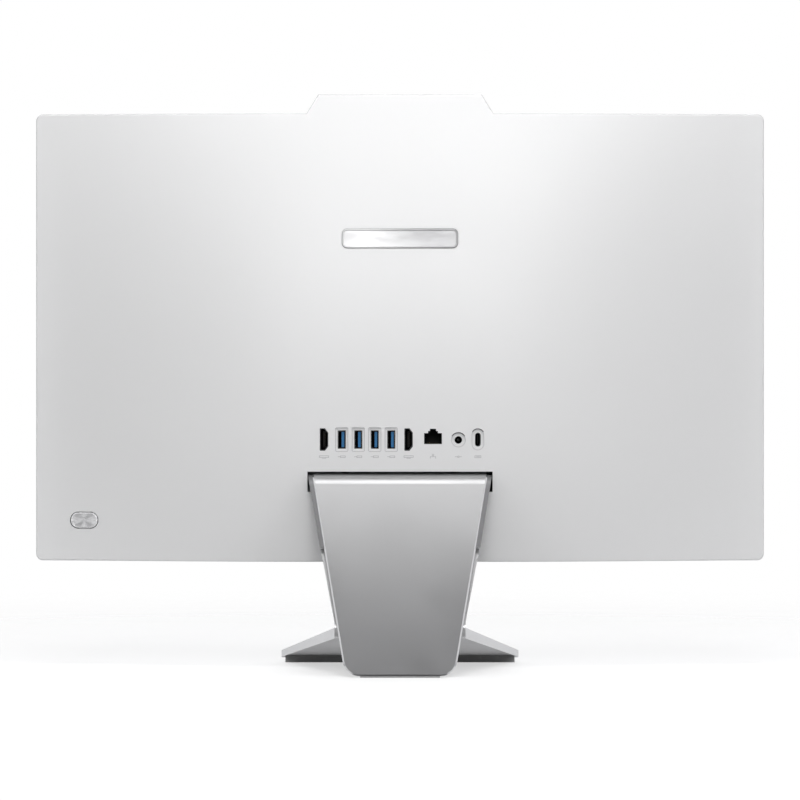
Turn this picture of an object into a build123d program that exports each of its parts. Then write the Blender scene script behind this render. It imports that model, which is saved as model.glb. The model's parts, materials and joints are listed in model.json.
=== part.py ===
from build123d import *
import math
import os

# An all-in-one computer: a screen with the computer behind it, on a folded metal stand.
# Millimetres. The screen faces -Y, +X is the viewer's right, +Z is up. The origin is on the
# floor, midway between the front edge of the front foot and the back edge of the rear foot.

# ---------------------------------------------------------------- driving dimensions

BODY_WIDTH = 540.0
BODY_BOTTOM = 79.0
BODY_TOP = 410.0
BODY_CORNER = 5.0
FRONT_Y = -38.0
SEAM_Y = -36.0
RIM_Y = -28.0
WALL = 2.5
EDGE_ROUND = 1.0

HUMP_BASE = 138.2
HUMP_TOP = 121.0
HUMP_RISE = 14.2

DOME_DEPTH = 36.0
DOME_FLAT_HALF = 60.0
DOME_RIM_HALF = 262.0
DOME_CREST_Z = 165.0
DOME_TOP_SHARE = 0.28
DOME_BOTTOM_SHARE = 0.75

PIVOT_Y = 4.0
PIVOT_Z = 130.0
ROLL_RADIUS = 14.0
NECK_PLATE = 5.0
NECK_LEAN = 28.7
NECK_HALF = 63.2
NECK_HALF_Z = 136.0
NECK_TAPER = 0.178
TAB_PROUD = 2.7
CHEEK_PROUD = 3.0
NECK_CORNER = 12.0
REAR_PAD = 1.2

FOOT_TIP = 5.0
FOOT_SLOPE = 8.8
FOOT_TOP_SLOPE = 9.8
FOOT_TONGUE = 4.0
FOOT_HALF_FRONT = 91.0
FRONT_PAD = 3.0

CLEAR = 0.15

# ---------------------------------------------------------------- worked-out dimensions

BODY_HEIGHT = BODY_TOP - BODY_BOTTOM
BODY_MIDDLE = (BODY_TOP + BODY_BOTTOM) / 2
HUMP_Z = BODY_TOP + HUMP_RISE

LEAN_COS = math.cos(math.radians(NECK_LEAN))
LEAN_SIN = math.sin(math.radians(NECK_LEAN))
LEAN_TAN = LEAN_SIN / LEAN_COS
NECK_OUT_Y = PIVOT_Y + ROLL_RADIUS * LEAN_COS
NECK_OUT_Z = PIVOT_Z + ROLL_RADIUS * LEAN_SIN
NECK_IN_Y = NECK_OUT_Y - NECK_PLATE * LEAN_COS
NECK_IN_Z = NECK_OUT_Z - NECK_PLATE * LEAN_SIN
REAR_Y = NECK_OUT_Y + (NECK_OUT_Z - REAR_PAD) * LEAN_TAN
FRONT_FOOT_Y = -REAR_Y
FOOT_TAN = math.tan(math.radians(FOOT_SLOPE))
FOOT_TOP_TAN = math.tan(math.radians(FOOT_TOP_SLOPE))


# ---------------------------------------------------------------- shared construction

def at_depth(y):
    """Sketch plane at depth y that faces the front: local x is X, local y is Z."""
    return Plane.XZ.offset(-y)


def side_plane(x):
    """Sketch plane at x: local x is Y, local y is Z, and its normal is +X."""
    return Plane.YZ.offset(x)


def block(x, y, z, mode=Mode.ADD):
    """Box over the (low, high) span of each axis, in the part that is being built."""
    with Locations(((x[0] + x[1]) / 2, (y[0] + y[1]) / 2, (z[0] + z[1]) / 2)):
        Box(x[1] - x[0], y[1] - y[0], z[1] - z[0], mode=mode)


def rod(radius, y, x, z, mode=Mode.ADD):
    """Round bar along Y over the (low, high) span y, in the part that is being built."""
    with Locations(Location((x, (y[0] + y[1]) / 2, z), (90, 0, 0))):
        Cylinder(radius, y[1] - y[0], mode=mode)


def cross_bar(radius, x, y, z, mode=Mode.ADD):
    """Round bar along X over the (low, high) span x, in the part that is being built."""
    with Locations(Location(((x[0] + x[1]) / 2, y, z), (0, 90, 0))):
        Cylinder(radius, x[1] - x[0], mode=mode)


def mirrored(half):
    """The half and its mirror image across the middle of the body, as two solids."""
    with BuildPart() as pair:
        add(half)
        mirror(about=Plane.YZ)
    return pair.part


os.makedirs("parts", exist_ok=True)


def save(piece, label):
    """Label a finished piece and write it to its own STEP file."""
    piece.label = label
    export_step(piece, f"parts/{label}.step")


# ---------------------------------------------------------------- shape of the back

def dome_across(x):
    """Share of the full bulge at x: 1 in the middle, 0 along the sides."""
    reach = (DOME_RIM_HALF - abs(x)) / (DOME_RIM_HALF - DOME_FLAT_HALF)
    share = min(max(reach, 0.0), 1.0) ** 0.75
    return share * share * (3 - 2 * share)


def dome_up(z):
    """Share of the full bulge at height z: 1 at the crest, less at the top and bottom."""
    if z > DOME_CREST_Z:
        climb = (BODY_TOP - z) / (BODY_TOP - DOME_CREST_Z)
        return DOME_TOP_SHARE + (1 - DOME_TOP_SHARE) * math.sin(climb * math.pi / 2)
    drop = (DOME_CREST_Z - z) / (DOME_CREST_Z - BODY_BOTTOM)
    return 1 - (1 - DOME_BOTTOM_SHARE) * drop * drop


def dome_y(x, z):
    """Depth of the cover's outer surface at (x, z)."""
    return RIM_Y + DOME_DEPTH * dome_across(x) * dome_up(z)


def dome_filling(raised):
    """Solid of all that lies in front of the cover's outer surface, raised towards the rear."""
    columns = [-285 + 15 * step for step in range(39)]
    rows = [60 + 12 * step for step in range(33)]
    points = [[(x, dome_y(x, z) + raised, z) for x in columns] for z in rows]
    skin = Face.make_surface_from_array_of_points(points, tol=0.005, min_deg=3)
    return extrude(skin, amount=100, dir=(0, -1, 0))


def body_outline(y, inset=0.0, hump=True):
    """Face of the body's outline at depth y, moved inwards by inset."""
    with BuildSketch(at_depth(y)) as outline:
        with Locations((0, BODY_MIDDLE)):
            RectangleRounded(BODY_WIDTH - 2 * inset, BODY_HEIGHT - 2 * inset, BODY_CORNER - 0.8 * inset)
        if hump:
            slant = (HUMP_BASE - HUMP_TOP) / 2 / HUMP_RISE
            top = HUMP_Z - inset
            base = BODY_TOP - 2 * BODY_CORNER
            half_top = HUMP_TOP / 2 - inset
            half_base = half_top + slant * (top - base)
            with BuildLine():
                Polyline(
                    (-half_base, base), (-half_top, top), (half_top, top), (half_base, base), close=True,
                )
            make_face()
    return outline.sketch


DOME = dome_filling(0.0)

# ---------------------------------------------------------------- ports

PORT_ROW_Z = 169.0
PORT_FACE_Y = 6.6
RECESS_FLOOR_Y = 6.9
RECESS_LENGTH = 5.0
USB_XS = (42.7, 30.6, 18.5, 6.4)
HDMI_OUT_X = 55.7
HDMI_IN_X = -6.3
ETHERNET_X = -24.2
ETHERNET_Z = 165.7
JACK_X = -42.8
JACK_Z = 168.7
USB_C_X = -57.1
USB_SIZE = (5.7, 13.3)
USB_C_SIZE = (3.9, 9.8)
HDMI_SIZE = (5.9, 16.2)
SHELL_WALL = 0.35
JACK_RADIUS = 2.75
JACK_RECESS_RADIUS = 5.0
ETHERNET_STEPS = ((6.5, 8.0), (3.6, 9.6), (2.25, 11.2))
ETHERNET_HALF = 6.1


def slot_face(y, x, z, width, height):
    """Face of a slot with round ends, along the longer of its width and height."""
    with BuildSketch(at_depth(y)) as face:
        with Locations((x, z)):
            SlotOverall(max(width, height), min(width, height), rotation=90 if height > width else 0)
    return face.sketch


def rounded_face(y, x, z, width, height, corner):
    """Face of a rounded rectangle."""
    with BuildSketch(at_depth(y)) as face:
        with Locations((x, z)):
            RectangleRounded(width, height, corner)
    return face.sketch


def hdmi_face(y, x, grow=0.0):
    """Face of an upright display connector: both corners of its -X side are cut off."""
    half_width = HDMI_SIZE[0] / 2 + grow
    half_height = HDMI_SIZE[1] / 2 + grow
    with BuildSketch(at_depth(y)) as face:
        with BuildLine():
            Polyline(
                (x + half_width, PORT_ROW_Z + half_height),
                (x - half_width + 2.4, PORT_ROW_Z + half_height),
                (x - half_width, PORT_ROW_Z + half_height - 3.2),
                (x - half_width, PORT_ROW_Z - half_height + 3.2),
                (x - half_width + 2.4, PORT_ROW_Z - half_height),
                (x + half_width, PORT_ROW_Z - half_height),
                close=True,
            )
        make_face()
        fillet(face.vertices(), 0.6)
    return face.sketch


def ethernet_face(y, grow=0.0):
    """Face of the network socket's mouth: a wide body under the latch's two steps."""
    with BuildSketch(at_depth(y)) as face:
        with Locations((ETHERNET_X, ETHERNET_Z - grow)):
            Rectangle(2 * (ETHERNET_HALF + grow), 7.0 + 2 * grow, align=(Align.CENTER, Align.MIN))
            for half, top in ETHERNET_STEPS:
                Rectangle(2 * (half + grow), top + 2 * grow, align=(Align.CENTER, Align.MIN))
    return face.sketch


# ---------------------------------------------------------------- rear cover

SLOT_HALF = 67.9
SLOT_TOP = 145.5
SLOT_BOTTOM = 130.6
SLOT_MIDDLE_HALF = 52.0
SLOT_MIDDLE_BOTTOM = 117.0
BUTTON_X = 234.0
BUTTON_Z = 109.0
BUTTON_SIZE = (20.3, 11.4)
BUTTON_GAP = 0.55
BADGE_Z = 317.0
BADGE_SIZE = (86.0, 15.0)
BADGE_SINK = 0.6
SHUTTER_TRAVEL = 9.0
KNOB_X = (6.0, 12.0)
KNOB_Y = (-35.6, -31.5)
COVER_SCREWS = (-190.0, -74.0, 74.0, 190.0)
COVER_SCREW_Y = -27.0

with BuildPart() as cover_cavity:
    extrude(body_outline(SEAM_Y - 1, WALL), amount=-70)
    add(Pos(0, -WALL, 0) * DOME, mode=Mode.INTERSECT)

with BuildPart() as badge_pocket:
    extrude(rounded_face(20, 0, BADGE_Z, BADGE_SIZE[0], BADGE_SIZE[1], 4.0), amount=40)
    add(Pos(0, -BADGE_SINK, 0) * DOME, mode=Mode.SUBTRACT)

with BuildPart() as rear_cover:
    extrude(body_outline(SEAM_Y), amount=-70)
    add(DOME, mode=Mode.INTERSECT)
    back_skin = rear_cover.faces().sort_by(SortBy.AREA)[-1]
    fillet(back_skin.edges(), EDGE_ROUND)
    add(cover_cavity.part, mode=Mode.SUBTRACT)
    # bosses that take the cover's screws
    with Locations(*((x, COVER_SCREW_Y, BODY_BOTTOM + WALL + 0.9) for x in COVER_SCREWS)):
        Cylinder(3.5, 1.8)
    # opening for the hinge and the stand's roll
    block((-SLOT_HALF, SLOT_HALF), (-8, 20), (SLOT_BOTTOM, SLOT_TOP), Mode.SUBTRACT)
    block((-SLOT_MIDDLE_HALF, SLOT_MIDDLE_HALF), (-8, 20), (SLOT_MIDDLE_BOTTOM, SLOT_TOP), Mode.SUBTRACT)
    # recesses round the sockets, then the openings themselves
    for usb_x in USB_XS:
        recess = rounded_face(RECESS_FLOOR_Y, usb_x, PORT_ROW_Z, 8.8, 17.2, 0.8)
        extrude(recess, amount=-RECESS_LENGTH, mode=Mode.SUBTRACT)
        extrude(
            rounded_face(20, usb_x, PORT_ROW_Z, USB_SIZE[0] + 2 * CLEAR, USB_SIZE[1] + 2 * CLEAR, 0.5),
            amount=28, mode=Mode.SUBTRACT,
        )
    for hdmi_x in (HDMI_OUT_X, HDMI_IN_X):
        extrude(hdmi_face(20, hdmi_x, CLEAR), amount=28, mode=Mode.SUBTRACT)
    extrude(ethernet_face(20), amount=28, mode=Mode.SUBTRACT)
    jack_recess_y = (RECESS_FLOOR_Y, RECESS_FLOOR_Y + RECESS_LENGTH)
    rod(JACK_RECESS_RADIUS, jack_recess_y, JACK_X, JACK_Z, Mode.SUBTRACT)
    rod(JACK_RADIUS, (-8, 20), JACK_X, JACK_Z, Mode.SUBTRACT)
    recess = slot_face(RECESS_FLOOR_Y, USB_C_X, PORT_ROW_Z, 8.4, 15.0)
    extrude(recess, amount=-RECESS_LENGTH, mode=Mode.SUBTRACT)
    extrude(
        slot_face(20, USB_C_X, PORT_ROW_Z, USB_C_SIZE[0] + 2 * CLEAR, USB_C_SIZE[1] + 2 * CLEAR),
        amount=28, mode=Mode.SUBTRACT,
    )
    # power button's opening and the badge's shallow pocket
    opening_size = [span + 2 * BUTTON_GAP for span in BUTTON_SIZE]
    extrude(slot_face(0, BUTTON_X, BUTTON_Z, *opening_size), amount=34, mode=Mode.SUBTRACT)
    add(badge_pocket.part, mode=Mode.SUBTRACT)
    # slot in the top of the hump for the shutter's knob
    block((KNOB_X[0] - SHUTTER_TRAVEL - 0.3, KNOB_X[1] + 0.3), (KNOB_Y[0] - 0.3, KNOB_Y[1] + 0.3),
          (HUMP_Z - WALL - 1, HUMP_Z + 1), Mode.SUBTRACT)
    # air in along the bottom, sound beside it, air out along the top
    with Locations(*((x, -15, BODY_BOTTOM + 1) for x in range(-50, 51, 5))):
        Box(2.2, 16, 6, mode=Mode.SUBTRACT)
    with Locations(*((side * x, -22, BODY_BOTTOM + 1) for side in (-1, 1) for x in range(106, 156, 4))):
        Box(1.6, 9, 6, mode=Mode.SUBTRACT)
    with Locations(*((side * x, -29, BODY_TOP - 1) for side in (-1, 1) for x in range(84, 170, 5))):
        Box(2.2, 7, 6, mode=Mode.SUBTRACT)
    # screw holes with a counterbore for the head
    with Locations(*((x, COVER_SCREW_Y, BODY_BOTTOM) for x in COVER_SCREWS)):
        Cylinder(1.65, 12, mode=Mode.SUBTRACT)
        Cylinder(3.1, 2.6, mode=Mode.SUBTRACT)

save(rear_cover.part, "rear_cover")

with BuildPart() as cover_screws:
    for screw_x in COVER_SCREWS:
        with Locations((screw_x, COVER_SCREW_Y, BODY_BOTTOM + 0.8)):
            Cylinder(2.9, 1.0)
        with Locations((screw_x, COVER_SCREW_Y, BODY_BOTTOM + 4.0)):
            Cylinder(1.5, 5.6)
        with Locations((screw_x, COVER_SCREW_Y, BODY_BOTTOM + 0.3)):
            Box(3.2, 0.7, 0.6, mode=Mode.SUBTRACT)
            Box(0.7, 3.2, 0.6, mode=Mode.SUBTRACT)
save(cover_screws.part, "cover_screws")

BADGE_STEPS = ((0.15, 0.1), (0.65, 0.35), (1.0, 0.5))


def badge_layer(inset, raised):
    """One step of the badge: a rounded bar that follows the back's shape, raised from it."""
    width = BADGE_SIZE[0] - 2 * inset
    height = BADGE_SIZE[1] - 2 * inset
    with BuildPart() as layer:
        extrude(rounded_face(20, 0, BADGE_Z, width, height, 4.0 - inset), amount=40)
        add(Pos(0, raised, 0) * DOME, mode=Mode.INTERSECT)
    return layer.part


with BuildPart() as badge_plate:
    for inset, raised in BADGE_STEPS:
        add(badge_layer(inset, raised))
    add(Pos(0, -BADGE_SINK, 0) * DOME, mode=Mode.SUBTRACT)
save(badge_plate.part, "badge_plate")

# ---------------------------------------------------------------- screen

VIEW_HALF = 263.5
VIEW_Z = (107.5, 404.0)
PANEL_HALF = 265.3
PANEL_Z = (104.5, 405.6)
PANEL_FRONT_Y = -37.2
GLASS_BACK_Y = -36.0
SHEET_BACK_Y = -35.2
GUIDE_BACK_Y = -33.0
TRAY_BACK_Y = -32.2
TRAY_WALL = 0.6
TRAY_X = (-265.2, 265.2)
TRAY_Z = (104.6, 405.5)
SHEET_X = (-264.5, 264.5)
SHEET_Z = (105.3, 404.8)
CHIN_TOP_Z = VIEW_Z[0]
SKIRT_BACK_Y = -31.0
WINDOW_X = (-28.0, 28.0)
WINDOW_Z = (409.8, 421.2)
LENS_Z = 415.5
FAR = 300.0


def front_frame():
    """Front layer of the body: the outline with the screen's opening and a step for the panel."""
    with BuildPart() as frame:
        extrude(body_outline(SEAM_Y), amount=SEAM_Y - FRONT_Y)
        front_rim = frame.faces().sort_by(Axis.Y)[0]
        chamfer(front_rim.edges(), 0.5)
        block((-VIEW_HALF, VIEW_HALF), (FRONT_Y, SEAM_Y), VIEW_Z, Mode.SUBTRACT)
        block((-PANEL_HALF, PANEL_HALF), (PANEL_FRONT_Y, SEAM_Y), PANEL_Z, Mode.SUBTRACT)
    return frame.part


FRONT_FRAME = front_frame()

with BuildPart() as front_bezel:
    add(FRONT_FRAME)
    block((-FAR, FAR), (FRONT_Y, SEAM_Y), (0, CHIN_TOP_Z), Mode.SUBTRACT)
    # camera window's seat and the opening behind it
    block((WINDOW_X[0], WINDOW_X[1]), (FRONT_Y, FRONT_Y + 0.8), WINDOW_Z, Mode.SUBTRACT)
    block((-24, 24), (FRONT_Y, SEAM_Y), (411.3, 419.7), Mode.SUBTRACT)
    # skirt that slides inside the rear cover's walls
    extrude(body_outline(SKIRT_BACK_Y, 2.65, hump=False), amount=SKIRT_BACK_Y - SEAM_Y)
    extrude(body_outline(SKIRT_BACK_Y, 4.15, hump=False), amount=SKIRT_BACK_Y - SEAM_Y, mode=Mode.SUBTRACT)
    block((-17, -7), (-34.4, SKIRT_BACK_Y), (404, 409), Mode.SUBTRACT)
save(front_bezel.part, "front_bezel")

with BuildPart() as chin_cover:
    add(FRONT_FRAME)
    block((-FAR, FAR), (FRONT_Y, SEAM_Y), (CHIN_TOP_Z, HUMP_Z), Mode.SUBTRACT)
save(chin_cover.part, "chin_cover")

with BuildPart() as lcd_panel:
    block(TRAY_X, (PANEL_FRONT_Y, GLASS_BACK_Y), TRAY_Z)
save(lcd_panel.part, "lcd_panel")

with BuildPart() as diffuser_sheet:
    block(SHEET_X, (GLASS_BACK_Y, SHEET_BACK_Y), SHEET_Z)
save(diffuser_sheet.part, "diffuser_sheet")

with BuildPart() as light_guide:
    block(SHEET_X, (SHEET_BACK_Y, GUIDE_BACK_Y), (SHEET_Z[0] + 2.2, SHEET_Z[1]))
save(light_guide.part, "light_guide")

with BuildPart() as backlight_strip:
    block((-250, 250), (SHEET_BACK_Y, GUIDE_BACK_Y), (SHEET_Z[0], SHEET_Z[0] + 1.4))
save(backlight_strip.part, "backlight_strip")

with BuildPart() as panel_tray:
    block(TRAY_X, (GLASS_BACK_Y, TRAY_BACK_Y), TRAY_Z)
    block(
        (TRAY_X[0] + TRAY_WALL, TRAY_X[1] - TRAY_WALL), (GLASS_BACK_Y, GUIDE_BACK_Y),
        (TRAY_Z[0] + TRAY_WALL, TRAY_Z[1] - TRAY_WALL), Mode.SUBTRACT,
    )
save(panel_tray.part, "panel_tray")

# ---------------------------------------------------------------- camera

WEBCAM_BOARD_Y = (-34.5, -33.5)
LENS_RADIUS = 2.6

with BuildPart() as webcam_window:
    extrude(rounded_face(FRONT_Y + 0.8, 0, (WINDOW_Z[0] + WINDOW_Z[1]) / 2, 55.8, 11.2, 0.4), amount=0.8)
save(webcam_window.part, "webcam_window")

with BuildPart() as webcam_board:
    block((-26, 26), WEBCAM_BOARD_Y, (410.4, 419.8))
    block((-19, -15.5), (-35.5, -34.5), (413, 416))
    block((15.5, 19), (-35.5, -34.5), (413, 416))
save(webcam_board.part, "webcam_board")

with BuildPart() as webcam_lens:
    rod(LENS_RADIUS, (-36.2, -34.5), 0, LENS_Z)
    rod(LENS_RADIUS - 1.0, (-36.2, -35.9), 0, LENS_Z, Mode.SUBTRACT)
save(webcam_lens.part, "webcam_lens")

with BuildPart() as webcam_shutter:
    block((5, 13), (-37.0, -36.5), (411.6, 419.4))
    block(KNOB_X, (-36.5, -35.2), (418.4, 419.4))
    block(KNOB_X, (-35.8, -35.2), (418.4, 421.2))
    block(KNOB_X, (-35.8, KNOB_Y[1]), (421.0, 422.2))
    block(KNOB_X, KNOB_Y, (422.2, HUMP_Z - 0.3))
save(webcam_shutter.part, "webcam_shutter")

with BuildPart() as webcam_cable:
    with BuildSketch(side_plane(-15)):
        with BuildLine():
            Polyline((-33.2, 411.5), (-33.2, 408.5), (-30.9, 406.0), (-30.9, 262.0), (-14.6, 256.5))
        trace(line_width=0.4)
    extrude(amount=6)
save(webcam_cable.part, "webcam_cable")

# ---------------------------------------------------------------- chassis and mainboard

CHASSIS_Y = (TRAY_BACK_Y, -31.2)
CHASSIS_BACK_Y = CHASSIS_Y[1]
BOARD_Y = (-14.0, -12.4)
BOARD_BACK_Y = BOARD_Y[1]
BOARD_X = (-122.0, 108.0)
BOARD_Z = (150.0, 258.0)
BOARD_SCREWS = [(x, z) for x in (-116, -5, 102) for z in (155, 253)]
BRACKET_STUDS = [(x, z) for x in (-30, 30) for z in (113, 141)]
FLANGE_Z = (83.3, 84.5)
DISPLAY_CABLE_X = (-78.0, -64.0)

with BuildPart() as chassis_frame:
    block((-262, 262), CHASSIS_Y, (85, 404))
    # windows that save weight, left and right of the electronics
    for side in (-1, 1):
        for low, high in ((128, 250), (262, 392)):
            with BuildSketch(at_depth(CHASSIS_BACK_Y)):
                with Locations((side * 202, (low + high) / 2)):
                    RectangleRounded(76, high - low, 8)
            extrude(amount=1, mode=Mode.SUBTRACT)
    # stiffening ribs, pressed towards the rear
    block((-210, 210), (CHASSIS_BACK_Y, CHASSIS_BACK_Y + 3), (396, 398))
    block((-210, 210), (CHASSIS_BACK_Y, CHASSIS_BACK_Y + 3), (254.5, 256.5))
    block((-22, 4), (CHASSIS_BACK_Y, CHASSIS_BACK_Y + 3), (254, 257), Mode.SUBTRACT)
    block((-22, 4), (CHASSIS_BACK_Y, CHASSIS_BACK_Y + 3), (395, 399), Mode.SUBTRACT)
    # room for the power button's board
    block((216, 262), CHASSIS_Y, (98, 120), Mode.SUBTRACT)
    # bottom flanges for the cover's screws
    for screw_x in COVER_SCREWS:
        block((screw_x - 9, screw_x + 9), CHASSIS_Y, (FLANGE_Z[0], 85))
        block((screw_x - 9, screw_x + 9), (CHASSIS_Y[0], -20.5), FLANGE_Z)
        with Locations((screw_x, COVER_SCREW_Y, FLANGE_Z[0])):
            Cylinder(1.5, 8, mode=Mode.SUBTRACT)
    # standoffs for the mainboard and studs for the hinge bracket
    for x, z in BOARD_SCREWS:
        rod(3.2, (CHASSIS_BACK_Y, BOARD_Y[0]), x, z)
        rod(1.5, (-23, BOARD_Y[0]), x, z, Mode.SUBTRACT)
    for x, z in BRACKET_STUDS:
        rod(2.0, (CHASSIS_BACK_Y, -24.5), x, z)
save(chassis_frame.part, "chassis_frame")

with BuildPart() as mainboard:
    block(BOARD_X, BOARD_Y, BOARD_Z)
    for x, z in BOARD_SCREWS:
        rod(1.7, BOARD_Y, x, z, Mode.SUBTRACT)
    # capacitors, chokes and chips in rows
    with Locations(*((x, BOARD_BACK_Y + 2.5, z) for x in (8, 16, 24) for z in (206, 214))):
        Box(6, 5, 6)
    with Locations(*((x, BOARD_BACK_Y + 0.7, 183) for x in (-100, -80, 80, 94))):
        Box(9, 1.4, 9)
save(mainboard.part, "mainboard")

with BuildPart() as board_screws:
    for x, z in BOARD_SCREWS:
        rod(2.9, (BOARD_BACK_Y, BOARD_BACK_Y + 1.6), x, z)
        rod(1.5, (-22.5, BOARD_BACK_Y), x, z)
        rod(1.1, (BOARD_BACK_Y + 0.8, BOARD_BACK_Y + 1.6), x, z, Mode.SUBTRACT)
save(board_screws.part, "board_screws")

with BuildPart() as processor:
    block((-38, -2), (BOARD_BACK_Y, BOARD_BACK_Y + 1.0), (206, 242))
    block((-32, -8), (BOARD_BACK_Y + 1.0, BOARD_BACK_Y + 3.0), (212, 236))
save(processor.part, "processor")

with BuildPart() as memory_modules:
    for y in (-10.2, -6.0):
        block((-118, -50.4), (y, y + 1.2), (192.5, 222.5))
        with Locations(*((x, y + 1.7, 209) for x in range(-110, -54, 14))):
            Box(10, 1.0, 14)
save(memory_modules.part, "memory_modules")

with BuildPart() as memory_sockets:
    block((-120, -48.4), (BOARD_BACK_Y, -3.8), (188.0, 195.0))
    add(memory_modules.part, mode=Mode.SUBTRACT)
save(memory_sockets.part, "memory_sockets")

with BuildPart() as solid_state_drive:
    block((20, 100), (-9.6, -8.8), (226, 248))
    with Locations((38, -8.1, 237), (60, -8.1, 237), (82, -8.1, 237)):
        Box(14, 1.4, 16)
save(solid_state_drive.part, "solid_state_drive")

with BuildPart() as wireless_card:
    block((72, 100), (-9.6, -8.8), (192, 214))
    block((78, 94), (-8.8, -7.2), (195, 211))
save(wireless_card.part, "wireless_card")

with BuildPart() as card_sockets:
    block((12, 21), (BOARD_BACK_Y, -7.6), (225.5, 248.5))
    block((64, 73), (BOARD_BACK_Y, -7.6), (191.5, 214.5))
    add(solid_state_drive.part, mode=Mode.SUBTRACT)
    add(wireless_card.part, mode=Mode.SUBTRACT)
save(card_sockets.part, "card_sockets")

with BuildPart() as coin_cell:
    rod(10, (BOARD_BACK_Y, BOARD_BACK_Y + 3.2), 44, 200)
    fillet(coin_cell.edges(), 0.5)
save(coin_cell.part, "coin_cell")

with BuildPart() as display_cable:
    with BuildSketch(side_plane(DISPLAY_CABLE_X[0])):
        with BuildLine():
            Polyline(
                (-31.0, 92.0), (-31.0, 160.0), (-29.0, 166.0),
                (-16.0, 172.0), (-14.25, 176.0), (-14.25, 182.0),
            )
        trace(line_width=0.4)
    extrude(amount=DISPLAY_CABLE_X[1] - DISPLAY_CABLE_X[0])
save(display_cable.part, "display_cable")

# ---------------------------------------------------------------- cooling

FAN_X = 35.0
FAN_Z = 299.0
FAN_HOUSING_X = (-3.0, 73.0)
FAN_HOUSING_Y = (-25.0, -12.0)
FAN_HOUSING_Z = (262.0, 337.0)
FAN_AXLE = 1.5
FAN_HUB = 12.0
FAN_REACH = 31.0
FAN_BLADES = 23
PIPE_RADIUS = 2.5
PIPE_Z = 345.0
PIPE_X = -20.0
FIN_Z = (337.5, 353.0)
FIN_PITCH = 3.2
FINS = 24

with BuildPart() as cooler_plate:
    block((-42, 2), (BOARD_BACK_Y + 3.0, BOARD_BACK_Y + 5.5), (200, 247))
save(cooler_plate.part, "cooler_plate")

with BuildPart() as heat_pipe:
    plate_top = BOARD_BACK_Y + 5.5
    with BuildLine() as pipe_path:
        FilletPolyline(
            (PIPE_X, plate_top + PIPE_RADIUS, 203), (PIPE_X, plate_top + PIPE_RADIUS, 250),
            (PIPE_X, -18, 300), (PIPE_X, -18, PIPE_Z), (74, -18, PIPE_Z), radius=12,
        )
    with BuildSketch(Plane(origin=pipe_path.line @ 0, z_dir=pipe_path.line % 0)):
        Circle(PIPE_RADIUS)
    sweep()
save(heat_pipe.part, "heat_pipe")

with BuildPart() as fin_stack:
    first_fin = FAN_HOUSING_X[0] + 1.5
    with Locations(*((first_fin + FIN_PITCH * step, -18.75, sum(FIN_Z) / 2) for step in range(FINS))):
        Box(0.5, 12.5, FIN_Z[1] - FIN_Z[0])
    cross_bar(PIPE_RADIUS, (-8, 75), -18, PIPE_Z, Mode.SUBTRACT)
save(fin_stack.part, "fin_stack")

with BuildPart() as fan_housing:
    block(FAN_HOUSING_X, FAN_HOUSING_Y, FAN_HOUSING_Z)
    with BuildSketch(at_depth(-13.2)):
        with Locations((FAN_X, FAN_Z)):
            Circle(FAN_REACH + 3.5)
        with Locations((FAN_X, FAN_Z + 20)):
            Rectangle(73, 40)
    extrude(amount=10.6, mode=Mode.SUBTRACT)
    block((-1.5, 71.5), (-23.8, -13.2), (330, 337), Mode.SUBTRACT)
    rod(24, (-13.2, -12), FAN_X, FAN_Z, Mode.SUBTRACT)
    rod(FAN_AXLE, (-24.4, -15), FAN_X, FAN_Z)
save(fan_housing.part, "fan_housing")

with BuildPart() as fan_impeller:
    rod(FAN_HUB, (-22.8, -14.0), FAN_X, FAN_Z)
    with BuildSketch(at_depth(-14.8)):
        with Locations((FAN_X, FAN_Z)):
            with PolarLocations((FAN_HUB + FAN_REACH - 0.6) / 2, FAN_BLADES):
                Rectangle(20.5, 1.0, rotation=-24)
    extrude(amount=7.4)
    rod(FAN_REACH, (-22.8, -22.2), FAN_X, FAN_Z)
    rod(FAN_AXLE + 0.06, (-23, -13), FAN_X, FAN_Z, Mode.SUBTRACT)
save(fan_impeller.part, "fan_impeller")

# ---------------------------------------------------------------- sockets

SOCKET_BASE_Y = -8.0


def hollow_shell(outer, inner):
    """Metal shell of a socket: closed at the board, open towards the rear."""
    with BuildPart() as shell:
        extrude(outer, amount=PORT_FACE_Y - BOARD_BACK_Y)
        extrude(inner, amount=PORT_FACE_Y - SOCKET_BASE_Y, mode=Mode.SUBTRACT)
    return shell.part


def hdmi_shell(x):
    """Shell of one display connector."""
    return hollow_shell(hdmi_face(PORT_FACE_Y, x), hdmi_face(PORT_FACE_Y, x, -0.45))


USB_INNER = (USB_SIZE[0] - 2 * SHELL_WALL, USB_SIZE[1] - 2 * SHELL_WALL)
USB_C_INNER = (USB_C_SIZE[0] - 2 * SHELL_WALL, USB_C_SIZE[1] - 2 * SHELL_WALL)

with BuildPart() as usb_sockets:
    for usb_x in USB_XS:
        outer = rounded_face(PORT_FACE_Y, usb_x, PORT_ROW_Z, *USB_SIZE, 0.45)
        inner = rounded_face(PORT_FACE_Y, usb_x, PORT_ROW_Z, *USB_INNER, 0.2)
        add(hollow_shell(outer, inner))
save(usb_sockets.part, "usb_sockets")

with BuildPart() as usb_tongues:
    for usb_x in USB_XS:
        block((usb_x - 1.75, usb_x + 0.15), (SOCKET_BASE_Y, 4.8), (PORT_ROW_Z - 5.6, PORT_ROW_Z + 5.6))
save(usb_tongues.part, "usb_tongues")

save(hdmi_shell(HDMI_OUT_X), "hdmi_socket_out")
save(hdmi_shell(HDMI_IN_X), "hdmi_socket_in")

with BuildPart() as hdmi_tongues:
    for hdmi_x in (HDMI_OUT_X, HDMI_IN_X):
        block((hdmi_x - 0.9, hdmi_x + 0.7), (SOCKET_BASE_Y, 4.6), (PORT_ROW_Z - 5.8, PORT_ROW_Z + 5.8))
save(hdmi_tongues.part, "hdmi_tongues")

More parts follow.
